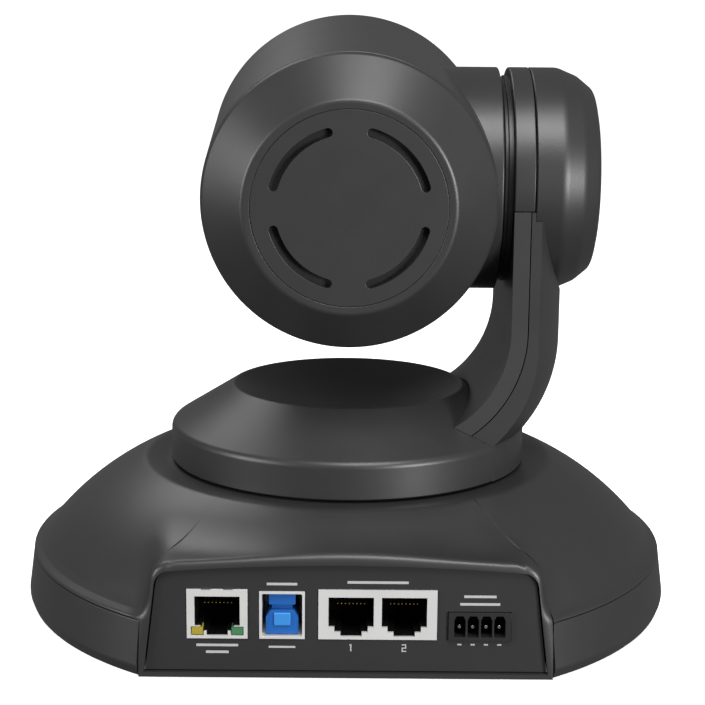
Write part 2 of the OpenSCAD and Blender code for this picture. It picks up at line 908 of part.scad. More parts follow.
// The hub cover's half section, t inside its outer face
module hub_section(t) {
    end = hub_end - t;
    neck = hub_r - t;
    curve = hub_end - hub_shoulder + 3;
    difference() {
        union() {
            translate([0, hub_split - (t > 0 ? cut : 0)])
                square([neck, curve - hub_split + (t > 0 ? cut : 0)]);
            polygon([
                [0, hub_end - hub_shoulder],
                [neck, hub_end - hub_shoulder],
                [neck, curve + 0.2],
                [neck - 1.2, curve + 3.5],
                [hub_end_r + 3.5 - t, end - 3.5],
                [hub_end_r + 1.5 - t, end - 0.9],
                [hub_end_r - 1.5 - t, end],
                [0, end]
            ]);
            intersection() {
                translate([neck - hub_round_r, curve]) circle(r = hub_round_r);
                translate([neck - hub_round_r, curve]) square([hub_round_r, 5.6]);
            }
        }
        translate([-far, -far]) square([far, 3 * far]);
    }
}

module hub_cover() {
    color(charcoal) on_feet() translate([0, 0, tilt_h]) along_tilt() difference() {
        rotate_extrude() hub_section(0);
        rotate_extrude() hub_section(wall);
    }
}

module neck_collar() {
    color(black) at_tilt_axis() along_tilt() translate([0, 0, neck_end + move_gap])
        tube(collar_r, collar_r - 4, hub_start - neck_end - move_gap);
}

foot_x = turn_r - 15;

module arm_foot_holes() {
    for (y = [-9, 9]) translate([-foot_x, y, 0]) children();
}

bracket_half = 15;
bracket_boss_r = tilt_shaft_r + 4;

module arm_bracket() {
    low = turn_plate_z + turn_plate_t;
    color(steel) on_feet() difference() {
        union() {
            translate([0, bracket_half, 0]) rotate([90, 0, 0]) linear_extrude(2 * bracket_half)
                polygon([
                    [-foot_x + 5, low],
                    [-foot_x - 6, low],
                    [-bracket_d - bracket_t, low + 20],
                    [-bracket_d - bracket_t, tilt_h],
                    [-bracket_d, tilt_h],
                    [-bracket_d, low + 21],
                    [-foot_x - 5, low + 2],
                    [-foot_x + 5, low + 2]
                ]);
            hub_drum(bracket_half, bracket_d, bracket_d + bracket_t);
            hub_drum(bracket_boss_r, bracket_d, bracket_d + 6);
        }
        hub_drum(tilt_shaft_r + run_gap + bush_t, 0, far);
        translate([0, 0, -tilt_centre]) hub_drum(motor_shaft_r + 2, 0, far);
        arm_foot_holes() cylinder(r = screw_r + 0.1, h = low + 2 + cut);
    }
}

module arm_screws() {
    low = turn_plate_z + turn_plate_t;
    color(steel) on_feet() arm_foot_holes() {
        translate([0, 0, low + 2]) cylinder(r = screw_head_r, h = screw_head_h);
        translate([0, 0, turn_plate_z - 1]) cylinder(r = screw_r, h = turn_plate_t + 3);
    }
}

module tilt_bush() {
    color([0.85, 0.82, 0.7]) on_feet() difference() {
        hub_drum(tilt_shaft_r + run_gap + bush_t, bracket_d, bracket_d + 6);
        hub_drum(tilt_shaft_r + run_gap, 0, far);
    }
}

// The tilt motor fills the room between the bracket's boss and the hub's wall
tilt_motor_r = min(hub_r - wall - tilt_centre - 0.2, tilt_centre - bracket_boss_r - 1);
tilt_motor_len = 8;

module tilt_motor() {
    color([0.35, 0.35, 0.37]) on_feet() translate([0, 0, -tilt_centre]) difference() {
        hub_drum(tilt_motor_r, bracket_d + bracket_t, bracket_d + bracket_t + tilt_motor_len - 2);
        hub_drum(motor_shaft_r + run_gap, bracket_d + bracket_t + 1, far);
    }
}

module tilt_motor_shaft() {
    color(steel) on_feet() translate([0, 0, -tilt_centre])
        hub_drum(motor_shaft_r, bracket_d + bracket_t + 1 + move_gap, tilt_gear_d + tilt_gear_t);
}

module tilt_pinion() {
    color(brass) on_feet() translate([0, 0, tilt_h - tilt_centre]) along_tilt()
        translate([0, 0, tilt_gear_d]) difference() {
            linear_extrude(tilt_gear_t)
                rotate([0, 0, 180 / pinion_teeth]) gear_outline(pinion_teeth, tilt_module, 3);
            translate([0, 0, -cut]) cylinder(r = motor_shaft_r, h = far);
        }
}

// Tilting parts

shaft_start = -frame_x + frame_t;

module tilt_shaft() {
    color(steel) on_feet() difference() {
        union() {
            hub_drum(tilt_shaft_r, shaft_start, tilt_gear_d + tilt_gear_t + 2.4);
            hub_drum(tilt_shaft_r + 5, shaft_start, shaft_start + 2);
        }
        hub_drum(tilt_shaft_r - 2, 0, far);
    }
}

module tilt_gear() {
    color([0.88, 0.87, 0.82]) at_tilt_axis() along_tilt() translate([0, 0, tilt_gear_d])
        difference() {
            linear_extrude(tilt_gear_t) gear_outline(tilt_teeth, tilt_module, 2);
            translate([0, 0, -cut]) cylinder(r = tilt_shaft_r, h = far);
        }
}

module tilt_clip() {
    color(steel) on_feet() difference() {
        hub_drum(tilt_shaft_r + 2.5, tilt_gear_d + tilt_gear_t, tilt_gear_d + tilt_gear_t + 1);
        hub_drum(tilt_shaft_r, 0, far);
    }
}

// The head's half section, t inside its outer face, between two distances along its axis
module head_section(t, front, back) {
    polygon([
        [0, front],
        [head_front_r - t, front],
        [head_back_r - t, back],
        [0, back]
    ]);
}

shell_front = -head_front_y + 3;
shell_back = head_back_y - 0.6;

module head_shell() {
    color(charcoal) in_head() difference() {
        union() {
            along_head() rotate_extrude() head_section(0, shell_front, shell_back);
            along_tilt() cylinder(r = hub_r, h = neck_end);
        }
        along_head() rotate_extrude() head_section(wall, shell_front - cut, shell_back + cut);
        along_tilt() cylinder(r = hub_r - wall, h = neck_end - wall);
        along_tilt() cylinder(r = shaft_hole_r, h = far);
    }
}

// Rear cap: the width of its flat land, the depth of the disc's seat, the length of its lip
cap_land = 2.2;
cap_seat = 2.2;
cap_lip = 5;
disc_step = 1;

module rear_cap() {
    bevel = disc_r + cap_land;
    inner = head_back_r - wall - seam;
    color(charcoal) in_head() along_head() difference() {
        rotate_extrude() union() {
            polygon([
                [bevel - 4, head_back_y + cap_depth - cap_seat],
                [bevel, head_back_y + cap_depth],
                [head_back_r - 1, head_back_y + 1.2],
                [head_back_r, head_back_y],
                [inner, head_back_y],
                [inner, head_back_y - cap_lip],
                [inner - wall, head_back_y - cap_lip],
                [inner - wall, head_back_y],
                [bevel - 4, head_back_y + cap_depth - cap_lip]
            ]);
        }
        translate([0, 0, head_back_y + cap_depth - 1.2]) cylinder(r = disc_r + 0.2, h = far);
        translate([0, 0, head_back_y]) cylinder(r = disc_r - 1.5, h = far);
    }
}

slot_ring_r = 20.8;
slot_w = 2.4;
slot_angle = 58;
filter_y = head_back_y + cap_depth - cap_seat - disc_step;

module vent_disc() {
    color(charcoal) in_head() along_head() translate([0, 0, filter_y]) {
        difference() {
            translate([0, 0, disc_step]) union() {
                cylinder(r = disc_r - 1.6, h = disc_step);
                translate([0, 0, disc_step]) cylinder(r = disc_r, h = disc_step);
            }
            for (a = [45:90:315]) rotate([0, 0, a]) {
                rotate([0, 0, -slot_angle / 2]) rotate_extrude(angle = slot_angle)
                    translate([slot_ring_r - slot_w / 2, -cut]) square([slot_w, 5]);
                for (side = [-1, 1]) rotate([0, 0, side * slot_angle / 2])
                    translate([slot_ring_r, 0, -cut]) cylinder(r = slot_w / 2, h = 5);
            }
        }
    }
}

module dust_filter() {
    color(black) in_head() along_head() translate([0, 0, filter_y])
        cylinder(r = disc_r - 2, h = disc_step - 0.1);
}

glass_r = 20;
glass_y = lens_front_y - 2;

// How far the bezel stands out in front, and how deep its lip goes into the shell
bezel_rise = 2.6;
bezel_lip = 8;

module front_bezel() {
    inner = head_front_r - wall - seam;
    color(black) in_head() along_head() rotate_extrude() difference() {
        polygon([
            [glass_r + 1.4, glass_y],
            [glass_r + 2.4, glass_y - 1.2],
            [head_front_r - 6.5, -head_front_y - bezel_rise],
            [head_front_r - 4.2, -head_front_y - bezel_rise],
            [head_front_r - 0.9, -head_front_y],
            [head_front_r, -head_front_y + 2.4],
            [inner, -head_front_y + 2.4],
            [inner, -head_front_y + bezel_lip],
            [inner - wall, -head_front_y + bezel_lip],
            [inner - wall, -head_front_y + 1],
            [glass_r + 2.6, glass_y + 3],
            [glass_r - 1, glass_y + 3],
            [glass_r - 1, glass_y + 1.6],
            [glass_r + 1.4, glass_y + 1.6]
        ]);
    }
}

module front_glass() {
    color([0.1, 0.1, 0.15, 0.5]) in_head() along_head()
        translate([0, 0, glass_y]) cylinder(r = glass_r, h = 1.5);
}

barrel_back = -4;

module lens_barrel() {
    color(black) in_head() along_head() difference() {
        union() {
            translate([0, 0, glass_y + 3.2])
                cylinder(r = barrel_bore_r + 1.6, h = barrel_back - glass_y - 3.2);
        }
        translate([0, 0, glass_y]) cylinder(r = barrel_bore_r, h = -glass_y + barrel_back - 2.5);
        translate([0, 0, glass_y]) cylinder(r = 9, h = far);
        rod_places() translate([0, 0, barrel_back - 3.5]) cylinder(r = rod_r, h = far);
    }
}

module rod_places() {
    for (side = [-1, 1]) translate([side * rod_x, 0, 0]) children();
}

rod_y = -43;

module guide_rods() {
    color(steel) in_head() along_head() rod_places()
        translate([0, 0, rod_y]) cylinder(r = rod_r, h = barrel_back - rod_y);
}

// A lens held in a ring that slides on the two guide rods
module lens_group(r, glass_h) {
    difference() {
        union() {
            tube(rod_x - 2, r, glass_h);
            intersection() {
                cylinder(r = barrel_bore_r - move_gap, h = glass_h);
                for (side = [-1, 1]) translate([side * rod_x, 0, 0]) cylinder(r = 2.8, h = glass_h);
            }
            translate([0, 0, 0.8]) cylinder(r = r, h = glass_h - 1.6);
        }
        rod_places() translate([0, 0, -cut]) cylinder(r = rod_r + run_gap, h = far);
    }
}

// Where the two lens groups rest, with each lens's radius and each ring's length
zoom_y = -37;
zoom_r = 10.5;
zoom_len = 5;
focus_y = -17;
focus_r = 9.5;
focus_len = 4;

module zoom_group() {
    color([0.4, 0.5, 0.6]) in_head() along_head() translate([0, 0, zoom_y])
        lens_group(zoom_r, zoom_len);
}

module focus_group() {
    color([0.4, 0.5, 0.6]) in_head() along_head() translate([0, 0, focus_y])
        lens_group(focus_r, focus_len);
}

module camera_block() {
    color([0.2, 0.2, 0.22]) in_head() {
        translate([-block_half, barrel_back, -block_half])
            cube([2 * block_half, block_len, 2 * block_half]);
        translate([-block_half + 2, barrel_back + block_len, -block_half + 2])
            cube([2 * block_half - 4, 5, 2 * block_half - 4]);
    }
}

module head_frame() {
    back = barrel_back + 21;
    color(steel) in_head() difference() {
        intersection() {
            union() {
                translate([frame_x, back - frame_shelf, -block_half - frame_t])
                    cube([-frame_x + block_half, frame_shelf, frame_t]);
                translate([frame_x - frame_t, back - frame_side, -block_half - frame_t])
                    cube([frame_t, frame_side, frame_side_h]);
            }
            union() {
                along_head() rotate_extrude() head_section(wall + cut, shell_front, shell_back);
                along_tilt() cylinder(r = hub_r - wall - cut, h = far);
            }
        }
        along_tilt() cylinder(r = tilt_shaft_r - 2, h = far);
    }
}

base_plate();
rubber_feet();
base_screws();
tripod_insert();
base_band();
dome_cover();
status_light();
remote_window();
rear_panel();
main_board();
board_posts();
board_screws();
heat_sink();
network_socket();
network_contacts();
network_lights();
usb_shell();
usb_tongue();
twin_socket();
twin_contacts();
terminal_header();
terminal_pins();
pan_deck();
deck_posts();
pan_bush();
thrust_washer();
pan_motor();
pan_motor_shaft();
pan_pinion();
pan_spindle();
pan_gear();
spindle_clip();
turntable_plate();
turntable_cover();
arm_bracket();
arm_screws();
arm_inner_cover();
arm_outer_cover();
hub_band();
hub_cover();
neck_collar();
tilt_bush();
tilt_motor();
tilt_motor_shaft();
tilt_pinion();
tilt_shaft();
tilt_gear();
tilt_clip();
head_shell();
rear_cap();
vent_disc();
dust_filter();
front_bezel();
front_glass();
lens_barrel();
camera_block();
head_frame();
guide_rods();
zoom_group();
focus_group();
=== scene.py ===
"""Looks of a desktop pan and tilt camera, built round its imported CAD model.

Lengths in the classes below are millimetres above the base's underside; Place turns them into the
row frame's metres. The sockets face +Y, the lens looks along -Y and the single arm is on the -X side.
"""

from __future__ import annotations

import logging
import math
from collections.abc import Iterable, Sequence
from dataclasses import dataclass, field
from enum import Enum

import bmesh
import bpy
import numpy as np
from mathutils import Matrix, Vector


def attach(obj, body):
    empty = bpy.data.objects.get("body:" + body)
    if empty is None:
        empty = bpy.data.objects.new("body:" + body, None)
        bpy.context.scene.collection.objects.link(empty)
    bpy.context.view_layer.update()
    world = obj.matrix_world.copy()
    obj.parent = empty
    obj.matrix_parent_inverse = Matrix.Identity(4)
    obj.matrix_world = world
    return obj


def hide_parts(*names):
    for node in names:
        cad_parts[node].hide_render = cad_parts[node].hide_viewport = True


log = logging.getLogger("camera")
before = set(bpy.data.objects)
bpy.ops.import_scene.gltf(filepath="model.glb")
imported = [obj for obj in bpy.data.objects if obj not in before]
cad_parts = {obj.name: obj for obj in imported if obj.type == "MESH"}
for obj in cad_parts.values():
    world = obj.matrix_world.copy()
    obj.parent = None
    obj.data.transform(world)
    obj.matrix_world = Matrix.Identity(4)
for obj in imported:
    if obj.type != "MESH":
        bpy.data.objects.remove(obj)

Point = tuple[float, float]
MM = 0.001


# Sizes


@dataclass(frozen=True)
class Sizes:
    """The camera's sizes, in millimetres, as its CAD source has them."""

    foot_h: float = 1.2
    base_r: float = 95.5
    band_flare: float = 1.7
    band_h: float = 15.4
    rear_y: float = 77.9
    chord_half: float = 55.2
    turn_r: float = 52.6
    seam: float = 0.3
    wall: float = 2.2
    hood_h: float = 33.4
    hood_slope: float = 7.1
    hood_arch_r: float = 600.0
    hood_corner_r: float = 5.5
    hood_rim: float = 1.5
    hood_foot: float = 1.7
    hood_brow: float = 1.2
    panel_y: float = 76.7
    panel_t: float = 1.6
    board_h: float = 10.5
    socket_y: float = 77.0
    turn_z: float = 41.1
    rim_z: float = 50.9
    dish_rim_r: float = 34.0
    dish_rim_z: float = 62.8
    tilt_h: float = 124.0
    hub_r: float = 32.2
    hub_start: float = 45.5
    hub_split: float = 51.6
    hub_end: float = 70.7
    rest_tilt: float = 2.5
    head_front_r: float = 43.7
    head_back_r: float = 40.2
    head_front_y: float = 54.0
    head_back_y: float = 45.0
    cap_depth: float = 11.3
    disc_r: float = 26.2

    def band_r(self, z: float) -> float:
        """Args: z: height. Returns: the band's outer radius there."""
        return self.base_r - self.band_flare * min(max(z, 0.0), self.band_h) / self.band_h


S = Sizes()


class Place(Enum):
    """Frames that pieces are built in, before they are written into the row frame."""

    BASE = "base"
    HEAD = "head"
    HEAD_AXIS = "head_axis"
    HUB_AXIS = "hub_axis"

    @property
    def matrix(self) -> Matrix:
        """Returns: the turn and shift from this frame's millimetres to the row frame's metres."""
        feet = Matrix.Translation((0, 0, S.foot_h))
        axis = Matrix.Translation((0, 0, S.foot_h + S.tilt_h))
        head = axis @ Matrix.Rotation(math.radians(-S.rest_tilt), 4, "X")
        table = {
            Place.BASE: feet,
            Place.HEAD: head,
            Place.HEAD_AXIS: head @ Matrix.Rotation(math.radians(-90), 4, "X"),
            Place.HUB_AXIS: axis @ Matrix.Rotation(math.radians(-90), 4, "Y"),
        }
        return Matrix.Scale(MM, 4) @ table[self]


# Finishes


@dataclass(frozen=True)
class Finish:
    """One painted, moulded or plated surface, as a procedural material."""

    name: str
    colour: tuple[float, float, float]
    roughness: float
    metallic: float = 0.0
    grain: float = 0.0
    grain_size: float = 0.35
    mottle: float = 0.06
    coat: float = 0.0
    specular: float = 0.5
    transmission: float = 0.0
    glow: float = 0.0
    made: dict[str, bpy.types.Material] = field(default_factory=dict, compare=False, repr=False)

    def material(self) -> bpy.types.Material:
        """Returns: the material, built on the first call."""
        if self.name not in self.made:
            self.made[self.name] = self.build()
        return self.made[self.name]

    def build(self) -> bpy.types.Material:
        """Returns: a new node material with the finish's colour, mottle and grain."""
        mat = bpy.data.materials.new(self.name)
        mat.use_nodes = True
        tree = mat.node_tree
        shader = tree.nodes["Principled BSDF"]
        shader.inputs["Metallic"].default_value = self.metallic
        shader.inputs["Coat Weight"].default_value = self.coat
        shader.inputs["Coat Roughness"].default_value = 0.08
        shader.inputs["Specular IOR Level"].default_value = self.specular
        shader.inputs["Transmission Weight"].default_value = self.transmission
        if self.glow:
            shader.inputs["Emission Color"].default_value = (*self.colour, 1)
            shader.inputs["Emission Strength"].default_value = self.glow
        coords = tree.nodes.new("ShaderNodeTexCoord")
        cloud = self.noise(tree, coords, 1 / (9 * MM), 3.0)
        self.mix_colour(tree, cloud, shader)
        self.spread(tree, cloud, shader.inputs["Roughness"])
        if self.grain:
            fine = self.noise(tree, coords, 1 / (self.grain_size * MM), 2.0)
            bump = tree.nodes.new("ShaderNodeBump")
            bump.inputs["Strength"].default_value = self.grain
            bump.inputs["Distance"].default_value = 0.05 * MM
            tree.links.new(fine.outputs["Fac"], bump.inputs["Height"])
            tree.links.new(bump.outputs["Normal"], shader.inputs["Normal"])
        return mat

    def noise(
        self, tree: bpy.types.NodeTree, coords: bpy.types.Node, scale: float, detail: float
    ) -> bpy.types.Node:
        """Args: tree, coords: the material's tree and coordinates. scale: noise cells per metre.
        detail: octaves. Returns: a noise node in object space."""
        node = tree.nodes.new("ShaderNodeTexNoise")
        node.inputs["Scale"].default_value = scale
        node.inputs["Detail"].default_value = detail
        tree.links.new(coords.outputs["Object"], node.inputs["Vector"])
        return node

    def mix_colour(
        self, tree: bpy.types.NodeTree, cloud: bpy.types.Node, shader: bpy.types.Node
    ) -> None:
        """Args: tree, cloud, shader: the material's parts. Gives the colour a slight unevenness."""
        ramp = tree.nodes.new("ShaderNodeValToRGB")
        low, high = 1 - self.mottle, 1 + self.mottle
        ramp.color_ramp.elements[0].color = (*[c * low for c in self.colour], 1)
        ramp.color_ramp.elements[1].color = (*[min(1, c * high) for c in self.colour], 1)
        tree.links.new(cloud.outputs["Fac"], ramp.inputs["Fac"])
        tree.links.new(ramp.outputs["Color"], shader.inputs["Base Color"])

    def spread(
        self, tree: bpy.types.NodeTree, cloud: bpy.types.Node, socket: bpy.types.NodeSocket
    ) -> None:
        """Args: tree, cloud: the material's parts. socket: roughness. Varies it a little."""
        remap = tree.nodes.new("ShaderNodeMapRange")
        remap.inputs["To Min"].default_value = self.roughness * 0.94
        remap.inputs["To Max"].default_value = min(1.0, self.roughness * 1.06)
        tree.links.new(cloud.outputs["Fac"], remap.inputs["Value"])
        tree.links.new(remap.outputs["Result"], socket)


class Finishes:
    """Every finish on the camera and its stage."""

    HOUSING = Finish("housing_charcoal", (0.022, 0.022, 0.0227), 0.4, grain=0.4, specular=0.5)
    PANEL = Finish("panel_charcoal", (0.018, 0.018, 0.0185), 0.5, grain=0.3, specular=0.35)
    STRIP = Finish("arm_satin", (0.027, 0.027, 0.0278), 0.4, grain=0.3, specular=0.5)
    BLACK = Finish("black_moulding", (0.012, 0.012, 0.013), 0.42, grain=0.15)
    # Jack liner: the sockets' black plastic, with colour and specular pushed down so it paints the shade
    # inside the recess.
    LINER_BLACK_SHADE = Finish("liner_black_painted_shade", (0.002, 0.002, 0.002), 0.9, specular=0.05)
    RUBBER = Finish("rubber", (0.014, 0.014, 0.014), 0.8, grain=0.4)
    STEEL = Finish("zinc_steel", (0.56, 0.57, 0.58), 0.36, 1.0, grain=0.1)
    BRIGHT = Finish("bright_steel", (0.72, 0.73, 0.74), 0.2, 1.0)
    SOCKET = Finish("socket_plating", (0.62, 0.62, 0.61), 0.4, 0.4, grain=0.15)
    SHIELD = Finish("socket_light_grey", (0.5, 0.5, 0.495), 0.45, 0.2, grain=0.1)
    GOLD = Finish("gold_contact", (0.83, 0.6, 0.22), 0.25, 1.0)
    BRASS = Finish("brass", (0.7, 0.5, 0.22), 0.32, 1.0)
    BLUE = Finish("blue_moulding", (0.008, 0.085, 0.32), 0.4, grain=0.1)
    BLUE_LIGHT = Finish("blue_tongue", (0.03, 0.19, 0.5), 0.38)
    BOARD = Finish("solder_mask", (0.01, 0.09, 0.035), 0.34, coat=0.3)
    SINK = Finish("black_anodised", (0.03, 0.03, 0.033), 0.35, 0.6)
    IVORY = Finish("acetal", (0.72, 0.7, 0.62), 0.4)
    MOTOR = Finish("motor_case", (0.3, 0.3, 0.31), 0.34, 1.0)
    PRINT = Finish("light_print", (0.34, 0.34, 0.34), 0.6)
    AMBER = Finish("amber_lens", (0.28, 0.22, 0.02), 0.4, glow=0.03)
    GREEN = Finish("green_lens", (0.04, 0.15, 0.06), 0.4, glow=0.03)
    DARK_WINDOW = Finish("dark_window", (0.012, 0.004, 0.006), 0.08, coat=0.6)
    LIGHT_WINDOW = Finish("light_window", (0.35, 0.55, 0.7), 0.2, glow=0.3)
    GLASS = Finish("front_glass", (0.02, 0.02, 0.025), 0.04, coat=1.0, transmission=0.6)
    LENS = Finish("lens_glass", (0.03, 0.03, 0.06), 0.03, coat=1.0)
    FILTER = Finish("filter_mesh", (0.01, 0.01, 0.01), 0.85, grain=0.6)


# Mesh tools


def arc(centre: Point, radius: float, start: float, end: float, steps: int) -> list[Point]:
    """Args: centre, radius: the circle. start, end: angles in degrees. steps: number of spans.
    Returns: points along the arc, both ends included."""
    angles = [math.radians(start + (end - start) * i / steps) for i in range(steps + 1)]
    return [(centre[0] + radius * math.cos(a), centre[1] + radius * math.sin(a)) for a in angles]


def around(radius: float, degrees: float) -> Point:
    """Args: radius, degrees: polar coordinates. Returns: the point."""
    return (radius * math.cos(math.radians(degrees)), radius * math.sin(math.radians(degrees)))


def rounded(
    points: Sequence[Point], radii: Sequence[float], closed: bool = False, steps: int = 6
) -> list[Point]:
    """Args: points: corners. radii: one fillet radius a corner. closed: joins last to first.
    steps: spans a fillet. Returns: the outline with its corners rounded."""
    count = len(points)
    made: list[Point] = []
    for i, (corner, radius) in enumerate(zip(points, radii)):
        ends = not closed and i in (0, count - 1)
        before, after = Vector(points[i - 1]), Vector(points[(i + 1) % count])
        here = Vector(corner)
        to_b, to_a = before - here, after - here
        if ends or radius <= 0 or min(to_b.length, to_a.length) < 1e-6:
            made.append(tuple(corner))
            continue
        half = to_b.angle(to_a) / 2
        reach = min(radius / math.tan(half), to_b.length * 0.49, to_a.length * 0.49)
        if abs(math.pi / 2 - half) < 1e-3:
            made.append(tuple(corner))
            continue
        r = reach * math.tan(half)
        middle = here + (to_b.normalized() + to_a.normalized()).normalized() * (r / math.sin(half))
        first = here + to_b.normalized() * reach - middle
        last = here + to_a.normalized() * reach - middle
        sweep = first.angle_signed(last) * -1
        base = math.atan2(first.y, first.x)
        for k in range(steps + 1):
            a = base + sweep * k / steps
            made.append((middle.x + r * math.cos(a), middle.y + r * math.sin(a)))
    return made


@dataclass
class Solid:
    """A closed mesh in millimetres, with the tools that shape it."""

    obj: bpy.types.Object

    @staticmethod
    def from_data(
        verts: Sequence[Sequence[float]], faces: Sequence[Sequence[int]], name: str = "solid"
    ) -> Solid:
        """Args: verts, faces: the mesh. name: its object's name. Returns: the solid, linked."""
        mesh = bpy.data.meshes.new(name)
        mesh.from_pydata([tuple(v) for v in verts], [], [tuple(f) for f in faces])
        mesh.update()
        obj = bpy.data.objects.new(name, mesh)
        bpy.context.scene.collection.objects.link(obj)
        made = Solid(obj)
        made.tidy()
        return made

    @staticmethod
    def revolve(
        profile: Sequence[Point], steps: int = 160, ring: bool = False, start: float = 0, sweep: float = 360
    ) -> Solid:
        """Args: profile: radius and height, from the axis and back to it, or a ring's closed outline.
        steps: spans a full turn. ring: the outline doesn't touch the axis. start, sweep: degrees.
        Returns: the solid of revolution about Z."""
        full = sweep >= 360
        turns = max(3, int(steps * sweep / 360))
        rows = turns if full else turns + 1
        angles = [math.radians(start + sweep * i / turns) for i in range(rows)]
        verts: list[tuple[float, float, float]] = []
        index: list[list[int]] = []
        for r, z in profile:
            if r < 1e-6:
                index.append([len(verts)] * rows)
                verts.append((0, 0, z))
                continue
            index.append(list(range(len(verts), len(verts) + rows)))
            verts.extend((r * math.cos(a), r * math.sin(a), z) for a in angles)
        faces: list[list[int]] = []
        pairs = len(profile) if ring else len(profile) - 1
        for i in range(pairs):
            low, high = index[i], index[(i + 1) % len(profile)]
            for j in range(turns):
                k = (j + 1) % rows
                quad = list(dict.fromkeys([low[j], low[k], high[k], high[j]]))
                if len(quad) > 2:
                    faces.append(quad)
        if not full:
            faces.append([row[0] for row in index])
            faces.append([row[-1] for row in reversed(index)])
        return Solid.from_data(verts, faces)

    @staticmethod
    def prism(outline: Sequence[Point], depth: float) -> Solid:
        """Args: outline: points of x and y. depth: its height along Z. Returns: the prism."""
        n = len(outline)
        verts = [(x, y, 0) for x, y in outline] + [(x, y, depth) for x, y in outline]
        faces = [list(range(n)), list(range(n, 2 * n))]
        faces += [[i, (i + 1) % n, n + (i + 1) % n, n + i] for i in range(n)]
        return Solid.from_data(verts, faces)

    @staticmethod
    def slab(outline: Sequence[Point], back: float, depth: float) -> Solid:
        """Args: outline: points of x and height. back: its highest y. depth: its length along Y.
        Returns: the upright slab."""
        made = Solid.prism(outline, depth)
        made.move(Matrix.Translation((0, back, 0)) @ Matrix.Rotation(math.radians(90), 4, "X"))
        return made

    @staticmethod
    def block(low: Sequence[float], high: Sequence[float]) -> Solid:
        """Args: low, high: opposite corners. Returns: the box."""
        verts = [(x, y, z) for x in (low[0], high[0]) for y in (low[1], high[1]) for z in (low[2], high[2])]
        faces = [(0, 1, 3, 2), (4, 6, 7, 5), (0, 4, 5, 1), (2, 3, 7, 6), (0, 2, 6, 4), (1, 5, 7, 3)]
        return Solid.from_data(verts, faces)

    @staticmethod
    def rod(radius: float, low: float, high: float, steps: int = 32, edge: float = 0.0) -> Solid:
        """Args: radius, low, high: a cylinder about Z. steps: its sides. edge: rim rounding.
        Returns: the cylinder."""
        corners = [(0, low), (radius, low), (radius, high), (0, high)]
        return Solid.revolve(rounded(corners, [0, edge, edge, 0], steps=4), steps)

    def tidy(self) -> Solid:
        """Returns: this solid with its normals outward."""
        work = bmesh.new()
        work.from_mesh(self.obj.data)
        bmesh.ops.remove_doubles(work, verts=work.verts, dist=1e-6)
        bmesh.ops.recalc_face_normals(work, faces=work.faces)
        work.to_mesh(self.obj.data)
        work.free()
        return self

    def move(self, matrix: Matrix) -> Solid:
        """Args: matrix: where to. Returns: this solid, moved in its mesh."""
        self.obj.data.transform(matrix)
        if matrix.determinant() < 0:
            self.obj.data.flip_normals()
        return self

    def shift(self, x: float = 0, y: float = 0, z: float = 0) -> Solid:
        """Args: x, y, z: the shift. Returns: this solid."""
        return self.move(Matrix.Translation((x, y, z)))

    def turn(self, degrees: float, axis: str = "Z") -> Solid:
        """Args: degrees, axis: the turn about the origin. Returns: this solid."""
        return self.move(Matrix.Rotation(math.radians(degrees), 4, axis))

    def join(self, others: Iterable[Solid]) -> Solid:
        """Args: others: solids that don't touch this one. Returns: this solid with theirs added."""
        work = bmesh.new()
        work.from_mesh(self.obj.data)
        for other in others:
            work.from_mesh(other.obj.data)
            other.drop()
        work.to_mesh(self.obj.data)
        work.free()
        return self

    def drop(self) -> None:
        """Removes the solid."""
        mesh = self.obj.data
        bpy.data.objects.remove(self.obj)
        if not mesh.users:
            bpy.data.meshes.remove(mesh)

    def bake(self, modifier: bpy.types.Modifier) -> Solid:
        """Args: modifier: one on this solid. Returns: this solid with its result as the mesh."""
        graph = bpy.context.evaluated_depsgraph_get()
        mesh = bpy.data.meshes.new_from_object(self.obj.evaluated_get(graph))
        old = self.obj.data
        self.obj.modifiers.remove(modifier)
        self.obj.data = mesh
        if not old.users:
            bpy.data.meshes.remove(old)
        return self

    def boolean(self, operation: str, others: Sequence[Solid]) -> Solid:
        """Args: operation: DIFFERENCE, UNION or INTERSECT. others: used up. Returns: this solid."""
        for other in others:
            modifier = self.obj.modifiers.new("cut", "BOOLEAN")
            modifier.operation = operation
            modifier.solver = "EXACT"
            modifier.object = other.obj
            self.bake(modifier)
            other.drop()
        return self

    def cut(self, *others: Solid) -> Solid:
        """Args: others: what to take away. Returns: this solid."""
        return self.boolean("DIFFERENCE", others)

    def fuse(self, *others: Solid) -> Solid:
        """Args: others: what to add. Returns: this solid."""
        return self.boolean("UNION", others)

    def flatten(self, degrees: float = 0.2) -> Solid:
        """Args: degrees: how flat. Returns: this solid with its coplanar faces joined."""
        work = bmesh.new()
        work.from_mesh(self.obj.data)
        bmesh.ops.remove_doubles(work, verts=work.verts, dist=1e-5)
        bmesh.ops.dissolve_limit(
            work, angle_limit=math.radians(degrees), verts=work.verts, edges=work.edges
        )
        work.to_mesh(self.obj.data)
        work.free()
        return self

    def soften(self, width: float, angle: float = 30, segments: int = 3) -> Solid:
        """Args: width: bevel width. angle: edges sharper than this many degrees. segments: spans.
        Returns: this solid with its sharp edges rounded."""
        modifier = self.obj.modifiers.new("round", "BEVEL")
        modifier.width = width
        modifier.segments = segments
        modifier.limit_method = "ANGLE"
        modifier.angle_limit = math.radians(angle)
        modifier.miter_outer = "MITER_ARC"
        modifier.use_clamp_overlap = True
        return self.bake(modifier)

